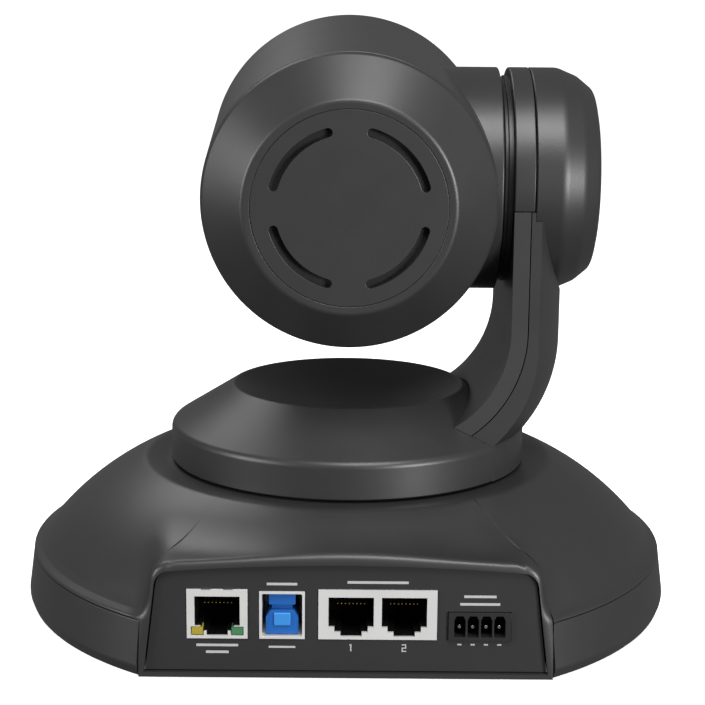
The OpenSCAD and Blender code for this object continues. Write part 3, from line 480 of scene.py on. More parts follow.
    def piece(
        self,
        name: str,
        place: Place,
        body: str,
        finish: Finish,
        slot: str | None,
        replaces: Sequence[str] = (),
        angle: float = 32,
    ) -> bpy.types.Object:
        """Args: name: the piece's name. place: the frame it was built in. body: what it rides on.
        finish: its surface. slot: not used. replaces: CAD nodes it stands for.
        angle: edges sharper than this stay sharp. Returns: the finished piece."""
        self.move(place.matrix)
        obj, mesh = self.obj, self.obj.data
        obj.name = mesh.name = name
        mesh.materials.clear()
        mesh.materials.append(finish.material())
        mesh.shade_smooth()
        mesh.set_sharp_from_angle(angle=math.radians(angle))
        even = obj.modifiers.new("even", "WEIGHTED_NORMAL")
        even.keep_sharp = True
        self.bake(even)
        mesh = obj.data
        mesh.name = name
        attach(obj, body)
        if replaces:
            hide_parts(*replaces)
        log.info("%s: %d faces on %s", name, len(mesh.polygons), body)
        return obj


def moulded(node: str, place: Place, width: float, angle: float = 30) -> Solid:
    """Args: node: a CAD node to copy. place: the frame to bring it to. width: edge rounding.
    angle: edges sharper than this are rounded. Returns: the copy, merged and softened."""
    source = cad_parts[node]
    obj = bpy.data.objects.new(node + "_skin", source.data.copy())
    bpy.context.scene.collection.objects.link(obj)
    made = Solid(obj)
    made.obj.data.transform(place.matrix.inverted())
    clear_custom_normals(made.obj)
    made.flatten(0.15)
    if width:
        made.soften(width, angle)
    return made


def clear_custom_normals(obj: bpy.types.Object) -> None:
    """Args: obj: a mesh object. Drops the normals that came with an imported mesh."""
    for name in ("custom_normal", "sharp_face", "sharp_edge"):
        attribute = obj.data.attributes.get(name)
        if attribute:
            obj.data.attributes.remove(attribute)


# Repeats


class RepeatTree:
    """A node tree that puts copies of one piece on the points of a mesh."""

    def __init__(self, name: str) -> None:
        """Args: name: the tree's name."""
        self.tree = bpy.data.node_groups.new(name, "GeometryNodeTree")
        face = self.tree.interface
        face.new_socket("Geometry", in_out="INPUT", socket_type="NodeSocketGeometry")
        face.new_socket("Piece", in_out="INPUT", socket_type="NodeSocketObject")
        face.new_socket("Material", in_out="INPUT", socket_type="NodeSocketMaterial")
        face.new_socket("Size", in_out="INPUT", socket_type="NodeSocketFloat")
        face.new_socket("Turn Spread", in_out="INPUT", socket_type="NodeSocketFloat")
        face.new_socket("Seed", in_out="INPUT", socket_type="NodeSocketInt")
        face.new_socket("Geometry", in_out="OUTPUT", socket_type="NodeSocketGeometry")
        self.wire()

    def wire(self) -> None:
        """Adds and links the tree's nodes."""
        nodes, links = self.tree.nodes, self.tree.links
        start = nodes.new("NodeGroupInput")
        end = nodes.new("NodeGroupOutput")
        info = nodes.new("GeometryNodeObjectInfo")
        info.transform_space = "ORIGINAL"
        place = nodes.new("GeometryNodeInstanceOnPoints")
        base_turn = nodes.new("GeometryNodeInputNamedAttribute")
        base_turn.data_type = "FLOAT_VECTOR"
        base_turn.inputs["Name"].default_value = "turn"
        chance = nodes.new("FunctionNodeRandomValue")
        chance.data_type = "FLOAT"
        low = nodes.new("ShaderNodeMath")
        low.operation = "MULTIPLY"
        low.inputs[1].default_value = -1
        twist = nodes.new("ShaderNodeCombineXYZ")
        total = nodes.new("ShaderNodeVectorMath")
        total.operation = "ADD"
        real = nodes.new("GeometryNodeRealizeInstances")
        paint = nodes.new("GeometryNodeSetMaterial")
        links.new(start.outputs["Geometry"], place.inputs["Points"])
        links.new(start.outputs["Piece"], info.inputs["Object"])
        links.new(info.outputs["Geometry"], place.inputs["Instance"])
        links.new(start.outputs["Size"], place.inputs["Scale"])
        links.new(start.outputs["Turn Spread"], low.inputs[0])
        links.new(low.outputs[0], chance.inputs[2])
        links.new(start.outputs["Turn Spread"], chance.inputs[3])
        links.new(start.outputs["Seed"], chance.inputs["Seed"])
        links.new(chance.outputs[1], twist.inputs["Z"])
        links.new(base_turn.outputs["Attribute"], total.inputs[0])
        links.new(twist.outputs["Vector"], total.inputs[1])
        links.new(total.outputs["Vector"], place.inputs["Rotation"])
        links.new(place.outputs["Instances"], real.inputs["Geometry"])
        links.new(real.outputs["Geometry"], paint.inputs["Geometry"])
        links.new(start.outputs["Material"], paint.inputs["Material"])
        links.new(paint.outputs["Geometry"], end.inputs["Geometry"])

    def socket(self, name: str) -> str:
        """Args: name: an input's name. Returns: its identifier on a modifier."""
        for item in self.tree.interface.items_tree:
            if item.item_type == "SOCKET" and item.in_out == "INPUT" and item.name == name:
                return item.identifier
        raise KeyError(name)

    def spread(
        self,
        piece: Solid,
        points: Sequence[Sequence[float]],
        finish: Finish,
        turns: Sequence[Sequence[float]] | None = None,
        turn_spread: float = 0.0,
        seed: int = 7,
    ) -> Solid:
        """Args: piece: what to repeat, used up. points: where. finish: its surface.
        turns: each copy's turn in radians. turn_spread: a random turn about Z. seed: for it.
        Returns: one solid with every copy."""
        mesh = bpy.data.meshes.new("places")
        mesh.from_pydata([tuple(p) for p in points], [], [])
        turn = mesh.attributes.new("turn", "FLOAT_VECTOR", "POINT")
        flat = np.array(turns if turns is not None else np.zeros((len(points), 3)), np.float32)
        turn.data.foreach_set("vector", flat.ravel())
        holder = bpy.data.objects.new("places", mesh)
        bpy.context.scene.collection.objects.link(holder)
        modifier = holder.modifiers.new("repeat", "NODES")
        modifier.node_group = self.tree
        modifier[self.socket("Piece")] = piece.obj
        modifier[self.socket("Material")] = finish.material()
        modifier[self.socket("Size")] = 1.0
        modifier[self.socket("Turn Spread")] = turn_spread
        modifier[self.socket("Seed")] = seed
        holder.update_tag()
        made = Solid(holder).bake(modifier)
        piece.drop()
        for name in ("turn",):
            attribute = made.obj.data.attributes.get(name)
            if attribute:
                made.obj.data.attributes.remove(attribute)
        return made


# The base's shell


def profile_distance(points: np.ndarray, line: np.ndarray) -> np.ndarray:
    """Args: points: (n, 2). line: (m, 2) polyline. Returns: each point's distance to the line."""
    best = np.full(len(points), 1e9)
    for a, b in zip(line[:-1], line[1:]):
        d = b - a
        t = np.clip(((points - a) @ d) / (d @ d), 0, 1)
        best = np.minimum(best, np.hypot(*(points - a - t[:, None] * d).T))
    return best


def blend_min(a: np.ndarray, b: np.ndarray, k: float) -> np.ndarray:
    """Args: a, b: distances. k: fillet size. Returns: their union with a fillet."""
    h = np.clip(0.5 + 0.5 * (b - a) / k, 0, 1)
    return b + (a - b) * h - k * h * (1 - h)


def hood_outline(inset: float, foot: float, steps: int = 8) -> list[Point]:
    """Args: inset: distance inside the hood's outer face. foot: lowest height. steps: corner spans.
    Returns: the hood's outline, x and height."""
    slope = math.radians(S.hood_slope)
    arch_c = S.hood_h - S.hood_arch_r
    gap = S.hood_arch_r - S.hood_corner_r
    side_x = S.chord_half - 0.4 - S.hood_corner_r / math.cos(slope)
    k = math.tan(slope)
    q = side_x * k + arch_c
    rest = side_x**2 + arch_c**2 - gap**2
    corner_h = (q + math.sqrt(q * q - (1 + k * k) * rest)) / (1 + k * k)
    corner_x = side_x - corner_h * k
    corner_a = math.degrees(math.atan2(corner_h - arch_c, corner_x))
    right = [(side_x + (S.hood_corner_r - inset) / math.cos(slope) - foot * k, foot)]
    right += arc((corner_x, corner_h), S.hood_corner_r - inset, S.hood_slope, corner_a, steps)
    right += arc((0, arch_c), S.hood_arch_r - inset, corner_a, 90, 14)[1:]
    return right + [(-x, z) for x, z in reversed(right[:-1])]


def panel_outline(inset: float) -> list[Point]:
    """Args: inset: distance inside the panel's edge. Returns: the panel's outline."""
    low = S.hood_foot + S.hood_brow + inset
    return [(x, z - S.hood_brow) for x, z in hood_outline(S.hood_rim + inset, low)]


@dataclass
class DomeField:
    """Distance to the dome's and hood's outer face, negative inside."""

    hood_blend: float = 5.0
    rear_round: float = 2.2
    hood_start: float = 40.0
    lip_r: float = 0.9
    shoulder: Point = (87.6, 21.5)
    top: Point = (60.6, 41.0)
    curve_r: float = 78.0

    def __post_init__(self) -> None:
        """Samples the dome's half section and the hood's outline."""
        band_top = S.base_r - S.band_flare
        a, b = Vector(self.shoulder), Vector(self.top)
        middle, across = (a + b) / 2, (b - a)
        depth = math.sqrt(self.curve_r**2 - (across.length / 2) ** 2)
        centre = middle + Vector((across.y, -across.x)).normalized() * -depth
        start = math.degrees(math.atan2(*(a - centre).yx))
        end = math.degrees(math.atan2(*(b - centre).yx))
        lip = arc((band_top - self.lip_r, S.band_h), self.lip_r, 0, 42, 6) + [(91.7, 17.15), (90.2, 18.5)]
        dome = arc(tuple(centre), self.curve_r, start, end, 26)
        corner = rounded([lip[-1], self.shoulder, dome[1]], [0, 3.0, 0], steps=5)
        flat = rounded([dome[-2], self.top, (54.2, 40.2), (10, 40.2)], [0, 1.5, 1.0, 0], steps=4)
        line = lip[:-1] + corner[:-1] + dome[1:-2] + flat
        self.line = np.array([(band_top + 0.9, -8.0 + S.band_h)] + line)
        self.graph = self.line[::-1]
        self.hood = np.array(hood_outline(0, -12))

    def dome(self, points: np.ndarray) -> np.ndarray:
        """Args: points: (n, 3). Returns: distance to the dome of revolution."""
        flat = np.column_stack([np.hypot(points[:, 0], points[:, 1]), points[:, 2]])
        height = np.interp(flat[:, 0], self.graph[:, 0], self.graph[:, 1], right=-1e3)
        side = np.where(flat[:, 1] < height, -1.0, 1.0)
        distance = profile_distance(flat, self.line) * side
        skirt = flat[:, 0] - (S.base_r - S.band_flare * np.clip(flat[:, 1], 0, 15.4) / 15.4)
        return np.where(flat[:, 1] < S.band_h - 0.01, skirt, distance)

    def hood_side(self, points: np.ndarray) -> np.ndarray:
        """Args: points: (n, 3). Returns: distance to the hood's convex outline, along its length."""
        flat = points[:, [0, 2]]
        closed = np.vstack([self.hood, self.hood[:1]])
        reach = np.full(len(flat), -1e9)
        for a, b in zip(closed[:-1], closed[1:]):
            out = np.array([b[1] - a[1], a[0] - b[0]])
            reach = np.maximum(reach, (flat - a) @ (out / np.hypot(*out)))
        return np.where(reach < 0, reach, profile_distance(flat, closed))

    def __call__(self, points: np.ndarray) -> np.ndarray:
        """Args: points: (n, 3). Returns: distance to the blended shell."""
        hood = np.maximum(self.hood_side(points), self.hood_start - points[:, 1])
        body = blend_min(self.dome(points), hood, self.hood_blend)
        return -blend_min(-body, S.rear_y - points[:, 1], self.rear_round)


@dataclass
class DomeMesh:
    """Turns the dome's field into a shell of even strips."""

    shape: DomeField
    rows: tuple[int, int, int] = (28, 28, 56)
    focus: Point = (45.0, 6.0)
    edge_deg: float = 35.12

    def columns(self) -> np.ndarray:
        """Returns: the strips' angles from +Y, in degrees, finer at the hood."""
        e = self.edge_deg

        def spans(*marks: tuple[float, int]) -> np.ndarray:
            """Args: marks: each stretch's start and number of strips. Returns: the angles."""
            pairs = zip(marks[:-1], marks[1:])
            return np.concatenate([np.linspace(a, b, n, endpoint=False) for (a, n), (b, _) in pairs])

        rear = np.append(spans((-e, 22), (-31, 62), (31, 22), (e, 0)), e)
        side = spans((e, 30), (45, 20), (62, 100), (298, 20), (315, 30), (360 - e, 0))
        self.rear_count = len(rear)
        return np.concatenate([rear, side + 0.02])

    def marks(self, rad: np.ndarray, rear: np.ndarray, start: np.ndarray, end: float) -> np.ndarray:
        """Args: rad: strip angles. rear: which strips are on the flat back. start, end: end tilts.
        Returns: (strips, rows) tilts, close together along the hood's edge and the dome's lip."""
        edge_r = S.rear_y / np.cos(rad)
        edge_z = S.hood_h - (edge_r * np.sin(rad)) ** 2 / (2 * S.hood_arch_r)
        share = np.clip((np.abs(np.degrees(rad)) - 29.0) / 6.0, 0, 1)
        drop = 6.0 * share**2 * (3 - 2 * share)
        ridge = np.arctan2(edge_z - drop - self.focus[1], edge_r - self.focus[0])
        first = np.where(rear, ridge - math.radians(3.5), start + math.radians(7))
        second = np.where(rear, ridge + math.radians(9), math.radians(40))
        made = []
        for k, (a, b) in enumerate([(start, first), (first, second), (second, end + 0 * start)]):
            share = np.linspace(0, 1, self.rows[k], endpoint=k == 2)
            made.append(a[:, None] + (b - a)[:, None] * share[None, :])
        return np.concatenate(made, 1)

    def layer(self, angles: np.ndarray, inset: float, top_r: float) -> np.ndarray:
        """Args: angles: the strips. inset: depth inside the outer face. top_r: radius of the hole.
        Returns: (strips, rows, 3) points."""
        rear = np.arange(len(angles)) < self.rear_count
        rad = np.radians(angles)
        low_z = np.where(rear, 0.0, S.band_h)
        low_r = np.where(rear, (S.rear_y - inset) / np.cos(rad), S.base_r - S.band_flare - inset)
        start = np.arctan2(low_z - self.focus[1], low_r - self.focus[0])
        top_z = 40.2 - inset
        end = math.atan2(top_z - self.focus[1], top_r - self.focus[0])
        tilt = self.marks(rad, rear, start, end)
        low, high = np.zeros_like(tilt), 95 * np.ones_like(tilt)

        def at(t: np.ndarray) -> np.ndarray:
            """Args: t: distance along each ray. Returns: the points there."""
            r = self.focus[0] + t * np.cos(tilt)
            z = self.focus[1] + t * np.sin(tilt)
            return np.stack([r * np.sin(rad)[:, None], r * np.cos(rad)[:, None], z], -1)

        for _ in range(24):
            mid = (low + high) / 2
            inside = (self.shape(at(mid).reshape(-1, 3)) < -inset).reshape(mid.shape)
            low, high = np.where(inside, mid, low), np.where(inside, high, mid)
        made = at((low + high) / 2)
        made[:, -1, 2] = top_z
        made[:, 0, 2] = low_z
        return made

    def build(self) -> Solid:
        """Returns: the closed shell, before its openings are cut."""
        angles = self.columns()
        outer = self.layer(angles, 0.0, 18.0)
        inner = self.layer(angles, S.wall, 18.0)
        n, m = outer.shape[:2]
        verts = np.concatenate([outer.reshape(-1, 3), inner.reshape(-1, 3)])
        faces: list[list[int]] = []
        for i in range(n):
            k = (i + 1) % n
            for j in range(m - 1):
                a, b, c, d = i * m + j, k * m + j, k * m + j + 1, i * m + j + 1
                faces.append([a, b, c, d])
                faces.append([n * m + a, n * m + d, n * m + c, n * m + b])
            faces.append([i * m, n * m + i * m, n * m + k * m, k * m])
            top, far = i * m + m - 1, k * m + m - 1
            faces.append([top, far, n * m + far, n * m + top])
        return Solid.from_data(verts, faces)


@dataclass
class BaseShell:
    """The outside of the base: band, dome with its hood and the hole for the status light, and window."""

    body: str = "base"

    def build(self) -> None:
        """Builds every piece of the base's outside."""
        self.dome()
        self.band()
        self.window()

    def dome(self) -> None:
        """The dome cover, its hood blended into it and open for the socket panel."""
        shell = DomeMesh(DomeField()).build()
        shell.cut(Solid.slab(panel_outline(-0.4), S.rear_y + 1, 6))
        shell.cut(Solid.rod(1.7, 20, 60).shift(y=-78.05))
        shell.piece(
            "dome_cover_shell", Place.BASE, self.body, Finishes.HOUSING, "housing", ["dome_cover"], 40
        )

    def band(self) -> None:
        """The upright band round the foot of the base."""
        top = S.band_h - S.seam
        r0, r1 = S.base_r, S.band_r(top)
        corners = [(r0 - S.wall, 0), (r0 - 1, 0), (r0, 2.6), (r1, top), (r1 - S.wall, top)]
        outline = rounded(corners, [0.2, 0.7, 3.0, 0.35, 0.2], closed=True, steps=4)
        gap = 35.45
        ring = Solid.revolve(outline, 300, True, 90 + gap, 360 - 2 * gap)
        cutter = [(90, 3.85), (100, 3.85), (100, 12.55), (90, 12.55)]
        ring.cut(Solid.revolve(cutter, 300, True, 270 - 13.2, 26.4))
        ring.piece("base_band_ring", Place.BASE, self.body, Finishes.HOUSING, "housing", ["base_band"])

    def window(self) -> None:
        """The dark window over the remote-control receiver."""
        low, high = 4.0, 12.4
        corners = [(93.3, low), (S.band_r(low) - 0.15, low), (S.band_r(high) - 0.15, high), (93.3, high)]
        outline = rounded(corners, [0.1, 0.4, 0.4, 0.1], closed=True, steps=4)
        pane = Solid.revolve(outline, 300, True, 270 - 13, 26)
        pane.piece(
            "remote_pane", Place.BASE, self.body, Finishes.DARK_WINDOW, "dark_window", ["remote_window"]
        )


# Sockets


@dataclass
class SocketPanel:
    """The rear panel with its sockets and generic printed marks."""

    repeat: RepeatTree
    body: str = "base"
    net_x: Point = (25.9, 41.9)
    usb_x: Point = (10.85, 22.85)
    twin_x: Point = (-23.9, 7.3)
    term_x: Point = (-43.4, -26.9)
    twin_centres: Point = (-15.3, -1.3)
    heights: tuple[float, float, float, float] = (13.6, 13.1, 13.7, 7.7)

    def build(self) -> None:
        """Builds the panel, each socket and the marks."""
        self.panel()
        self.network()
        self.usb()
        self.twin()
        self.terminals()
        self.contacts()
        self.marks()

    def panel(self) -> None:
        """The plate inside the hood, with a hole for each socket."""
        plate = Solid.slab(panel_outline(0), S.panel_y, S.panel_t)
        spans = zip((self.net_x, self.usb_x, self.twin_x, self.term_x), self.heights)
        for (low, high), height in spans:
            plate.cut(
                Solid.block(
                    (low - 0.15, 70, S.board_h - 0.15), (high + 0.15, 80, S.board_h + height + 0.15)
                )
            )
        plate.soften(0.22, 30, 2)
        plate.piece("rear_panel_plate", Place.BASE, self.body, Finishes.PANEL, "housing", ["rear_panel"])

    def jack_steps(self, x: float, span: Point, inset: float = 0.0) -> list[Solid]:
        """Args: x: the jack's middle. span: depth range. inset: how much smaller on each side.
        Returns: the three blocks that make a stepped opening."""
        (y0, y1), z = span, S.board_h
        return [
            Solid.block((x - w + inset, y0, z + low + inset), (x + w - inset, y1, z + high))
            for w, low, high in ((5.95, 3.4, 11.6 - inset), (4.4, 2.0, 4.0), (2.8, 0.8, 3.0))
        ]

    def jack_cut(self, x: float) -> list[Solid]:
        """Args: x: the jack's middle. Returns: cutters for a stepped opening."""
        return self.jack_steps(x, (S.socket_y - 13, S.socket_y + 1))

    def jack_liner(self, x: float, name: str) -> None:
        """Args: x: the jack's middle. name: the piece's name. Lines the opening in black plastic, made
        near-black and almost unreflective as painted shade for the recess.
        """
        liner, step, key = self.jack_steps(x, (64.2, 76.2), 0.05)
        liner.fuse(step, key).cut(*self.jack_steps(x, (65, 78), 0.3))
        liner.piece(name, Place.BASE, self.body, Finishes.LINER_BLACK_SHADE, "black_plastic")

    def body_block(self, span: Point, height: float, depth: float = 19) -> Solid:
        """Args: span: x range. height, depth: sizes. Returns: the socket's solid block."""
        return Solid.block(
            (span[0], S.socket_y - depth, S.board_h), (span[1], S.socket_y, S.board_h + height)
        )

    def network(self) -> None:
        """The single jack: plated shell, spring tabs and two indicator lights."""
        middle = sum(self.net_x) / 2
        shell = self.body_block(self.net_x, self.heights[0])
        shell.cut(*self.jack_cut(middle))
        for side in (-1, 1):
            x = middle + side * 5.25
            shell.cut(Solid.block((x - 1.7, S.socket_y - 4, 11.3), (x + 1.7, S.socket_y + 1, 13.8)))
        shell.soften(0.25, 30, 3)
        shell.piece(
            "network_shell", Place.BASE, self.body, Finishes.SOCKET, "socket_metal", ["network_socket"]
        )
        self.jack_liner(middle, "network_liner")
        tab = Solid.block((-1.3, S.socket_y - 3.0, 24.05), (1.3, S.socket_y + 0.15, 24.25))
        tab.soften(0.08, 30, 2)
        tabs = self.repeat.spread(tab, [(middle - 2.9, 0, 0), (middle + 2.9, 0, 0)], Finishes.BRIGHT)
        tabs.piece("network_tabs", Place.BASE, self.body, Finishes.BRIGHT, "socket_metal")
        for side, finish, name in ((1, Finishes.AMBER, "amber"), (-1, Finishes.GREEN, "green")):
            x = middle + side * 5.25
            lamp = Solid.block((x - 1.5, 73.1, 11.5), (x + 1.5, S.socket_y - 0.1, 13.6)).soften(0.2, 30, 2)
            stands = ["network_lights"] if side > 0 else []
            lamp.piece(f"network_light_{name}", Place.BASE, self.body, finish, "indicator", stands)

    def usb(self) -> None:
        """The square socket: plated shell, blue insert and lighter tongue."""
        low, high = self.usb_x
        x, z, y = (low + high) / 2, S.board_h, S.socket_y
        shell = self.body_block(self.usb_x, self.heights[1])
        inside = rounded(
            [(low + 0.7, z + 0.7), (high - 0.7, z + 0.7), (high - 0.7, z + 12.4), (low + 0.7, z + 12.4)],
            [0.4] * 4, closed=True, steps=3,
        )
        shell.cut(Solid.slab(inside, y + 2, 19))
        shell.soften(0.22, 30, 3)
        shell.piece(
            "usb_shell_skin", Place.BASE, self.body, Finishes.SOCKET, "socket_metal", ["usb_shell"]
        )
        upper = rounded([(x - 3.5, z + 9.1), (x + 3.5, z + 9.1), (x + 3.5, z + 12.2), (x - 3.5, z + 12.2)],
                        [0.3] * 4, closed=True, steps=3)
        lower = rounded(
            [(x - 4.3, z + 1.0), (x + 4.3, z + 1.0), (x + 4.3, z + 5.6), (x + 3.0, z + 7.6),
             (x - 3.0, z + 7.6), (x - 4.3, z + 5.6)], [0.4] * 6, closed=True, steps=3,
        )
        block = Solid.slab(lower, y - 1.2, 12).fuse(Solid.slab(upper, y - 1.2, 12))
        block.fuse(Solid.block((x - 2.7, y - 13, z + 7.0), (x + 2.7, y - 2.6, z + 9.6)))
        block.soften(0.18, 30, 2)
        block.piece("usb_insert", Place.BASE, self.body, Finishes.BLUE, "blue_plastic", ["usb_tongue"])
        tongue = Solid.block((x - 2.2, y - 12, z + 3.4), (x + 2.2, y - 0.7, z + 6.9)).soften(0.3, 30, 3)
        tongue.piece("usb_tongue_face", Place.BASE, self.body, Finishes.BLUE_LIGHT, "blue_plastic")

    def twin(self) -> None:
        """The double jack in one light-grey shield."""
        shell = self.body_block(self.twin_x, self.heights[2])
        for x in self.twin_centres:
            shell.cut(*self.jack_cut(x))
        shell.soften(0.25, 30, 3)
        shell.piece(
            "twin_shield", Place.BASE, self.body, Finishes.SHIELD, "socket_metal", ["twin_socket"]
        )
        for number, x in enumerate(self.twin_centres, 1):
            self.jack_liner(x, f"twin_liner_{number}")

    def terminals(self) -> None:
        """The four-way header with its pins."""
        low, high = self.term_x
        x, z, y = (low + high) / 2, S.board_h, S.socket_y
        header = Solid.block((low, y - 11, z), (high, y + 0.4, z + 7.7))
        for i in range(4):
            cx = x + (i - 1.5) * 3.5
            cell = rounded(
                [(cx - 1.5, z + 0.9), (cx + 1.5, z + 0.9), (cx + 1.5, z + 5.6), (cx + 0.9, z + 6.8),
                 (cx - 0.9, z + 6.8), (cx - 1.5, z + 5.6)], [0.2] * 6, closed=True, steps=2,
            )
            header.cut(Solid.slab(cell, y + 2, 11))
        header.soften(0.2, 30, 2)
        header.piece(
            "terminal_block", Place.BASE, self.body, Finishes.BLACK, "black_plastic", ["terminal_header"]
        )
        pin = Solid.rod(0.5, 0, 10, 20, 0.15).turn(-90, "X")
        spots = [(x + (i - 1.5) * 3.5, y - 11.5, z + 3.2) for i in range(4)]
        pins = self.repeat.spread(pin, spots, Finishes.BRIGHT)
        pins.piece(
            "terminal_pin_row", Place.BASE, self.body, Finishes.BRIGHT, "pin_metal", ["terminal_pins"]
        )

    def contacts(self) -> None:
        """The eight spring wires in each jack."""
        jacks = {"network_contacts": [sum(self.net_x) / 2], "twin_contacts": self.twin_centres}
        for node, centres in jacks.items():
            wire = Solid.block((-0.18, 0, -0.18), (0.18, 8.0, 0.18))
            wire.turn(-14, "X").soften(0.08, 30, 2)
            spots = [(x + (i - 3.5) * 1.02, 65.2, 20.9) for x in centres for i in range(8)]
            row = self.repeat.spread(wire, spots, Finishes.GOLD)
            row.piece(node + "_row", Place.BASE, self.body, Finishes.GOLD, "gold_contacts", [node])

    def strokes(self, parts: Sequence[tuple[float, float, float, float]]) -> list[Solid]:
        """Args: parts: boxes as x, height, width, tall. Returns: thin printed boxes."""
        y = S.panel_y
        return [
            Solid.block((x - w / 2, y - 0.02, z - h / 2), (x + w / 2, y + 0.03, z + h / 2))
            for x, z, w, h in parts
        ]

    def marks(self) -> None:
        """Plain printed bars and the digits 1 and 2 beside the sockets."""
        net, usb, term = (sum(s) / 2 for s in (self.net_x, self.usb_x, self.term_x))
        bars = [
            (net, 8.6, 11.0, 0.7), (net, 6.7, 6.0, 0.7), (usb, 25.6, 8.0, 0.7), (usb, 8.2, 7.0, 0.55),
            (-8.3, 26.2, 16.0, 0.7), (term, 22.5, 8.5, 0.7), (term, 20.4, 10.5, 0.7),
        ]
        bars += [(term + (i - 1.5) * 3.5, 9.2, 1.1, 0.4) for i in range(4)]
        x1, x2 = self.twin_centres[1], self.twin_centres[0]
        one = [(x1, 8.1, 0.32, 2.0), (x1 + 0.25, 8.85, 0.3, 0.3)]
        two = [(x2, 9.0, 1.2, 0.3), (x2 - 0.45, 8.6, 0.3, 1.0), (x2, 8.1, 1.2, 0.3),
               (x2 + 0.45, 7.65, 0.3, 1.0), (x2, 7.2, 1.2, 0.3)]
        solids = self.strokes(bars + one)
        joined = solids[0].join(solids[1:])
        digit = self.strokes(two)
        joined.join([digit[0].fuse(*digit[1:])])
        joined.piece("printed_marks", Place.BASE, self.body, Finishes.PRINT, None)


# Turntable, arm and hub


@dataclass
class Turntable:
    """The turning cover with its dished middle."""

    body: str = "turntable"
    dish_r: float = math.hypot(S.dish_rim_r, S.tilt_h - S.dish_rim_z)

    def section(self, inset: float, edge: float) -> list[Point]:
        """Args: inset: depth inside the outer face. edge: rim rounding. Returns: a half section."""
        slope = math.atan2(S.dish_rim_z - S.rim_z, S.turn_r - S.dish_rim_r)
        drop = inset / math.cos(slope)
        wall_r = S.turn_r - inset
        corner_z = S.rim_z - drop * 0.6 + 0.25
        radius = self.dish_r + inset
        rim_r = S.dish_rim_r
        rim_z = S.tilt_h - math.sqrt(radius**2 - rim_r**2)
        start = math.degrees(math.asin(rim_r / radius))
        dish = [(radius * math.sin(math.radians(start * (1 - i / 20))),
                 S.tilt_h - radius * math.cos(math.radians(start * (1 - i / 20)))) for i in range(21)]
        corners = [(wall_r, S.turn_z), (wall_r, corner_z), (rim_r, rim_z), dish[1]]
        outer = rounded(corners, [0, edge, min(edge, 1.4), 0], steps=6)
        return outer[:-1] + dish[1:-1] + [(0.0, dish[-1][1])]

    def build(self) -> None:
        """Builds the cover, cut away for the arm's foot."""
        outer = self.section(0, 2.4)
        inner = self.section(S.wall, 0.6)
        outer = [(S.turn_r - 0.35, S.turn_z), (S.turn_r, S.turn_z + 0.35)] + outer[1:]
        cover = Solid.revolve(outer[::-1] + inner, 220)
        cover.cut(Solid.block((-90, -32.5, 30), (-38.5, 32.5, 90)))
        cover.piece(
            "turntable_cover_skin", Place.BASE, self.body, Finishes.HOUSING, "housing",
            ["turntable_cover"], 38,
        )


@dataclass
class Arm:
    """The arm's two covers and the hub on top of it."""

    body: str = "turntable"

    def build(self) -> None:
        """Builds the covers, the hub band and cover, and the collar in the groove."""
        self.covers()
        self.hub_band()
        self.hub_cover()
        self.collar()

    def covers(self) -> None:
        """The inner and outer arm covers, rounded along their long edges."""
        for node, finish in (("arm_inner_cover", Finishes.STRIP), ("arm_outer_cover", Finishes.HOUSING)):
            skin = moulded(node, Place.BASE, 0.45, 28)
            skin.piece(node + "_skin", Place.BASE, self.body, finish, "housing", [node])

    def hub_band(self) -> None:
        """The straight ring next to the head."""
        r, a, b = S.hub_r, S.hub_start, S.hub_split - S.seam
        corners = [(14, a), (r, a), (r, b), (r - S.wall, b), (r - S.wall, a + S.wall), (14, a + S.wall)]
        outline = rounded(corners, [0.3, 0.5, 0.3, 0.2, 0.4, 0.3], closed=True, steps=4)
        ring = Solid.revolve(outline, 180, True)
        ring.cut(Solid.block((-200, -60, 0), (-5.7, 60, 100)))
        ring.piece("hub_band_skin", Place.HUB_AXIS, self.body, Finishes.HOUSING, "housing", ["hub_band"])

    def hub_cover(self) -> None:
        """The rounded end of the hub."""
        r, a, end = S.hub_r, S.hub_split, S.hub_end
        outer = rounded(
            [(r, a), (r, end - 11), (r - 2.4, end - 5.3),
             (r - 6.0, end - 0.9), (r - 9.6, end - 0.1), (0, end)],
            [0, 6, 6, 3, 4, 0], steps=6,
        )
        outer = [(r - 0.3, a), (r, a + 0.3)] + outer[1:]
        t = S.wall
        inner = [(r - t, a), (r - t, end - 11.5), (r - 3 - t, end - 6.1), (21.5, end - t), (0, end - t)]
        cover = Solid.revolve(outer[::-1] + inner, 180)
        cover.piece(
            "hub_cover_skin", Place.HUB_AXIS, self.body, Finishes.HOUSING, "housing", ["hub_cover"], 40
        )

    def collar(self) -> None:
        """The stepped ring in the groove between head and hub."""
        r = S.hub_r - 2.3
        corners = [(r - 4, 43.0), (r - 0.5, 43.0), (r - 0.5, 44.0), (r, 44.0), (r, 45.5), (r - 4, 45.5)]
        outline = rounded(corners, [0.1, 0.25, 0.1, 0.25, 0.1, 0.1], closed=True, steps=3)
        ring = Solid.revolve(outline, 160, True)
        ring.piece(
            "neck_collar_ring", Place.HUB_AXIS, self.body, Finishes.BLACK, "black_plastic", ["neck_collar"]
        )


# Head


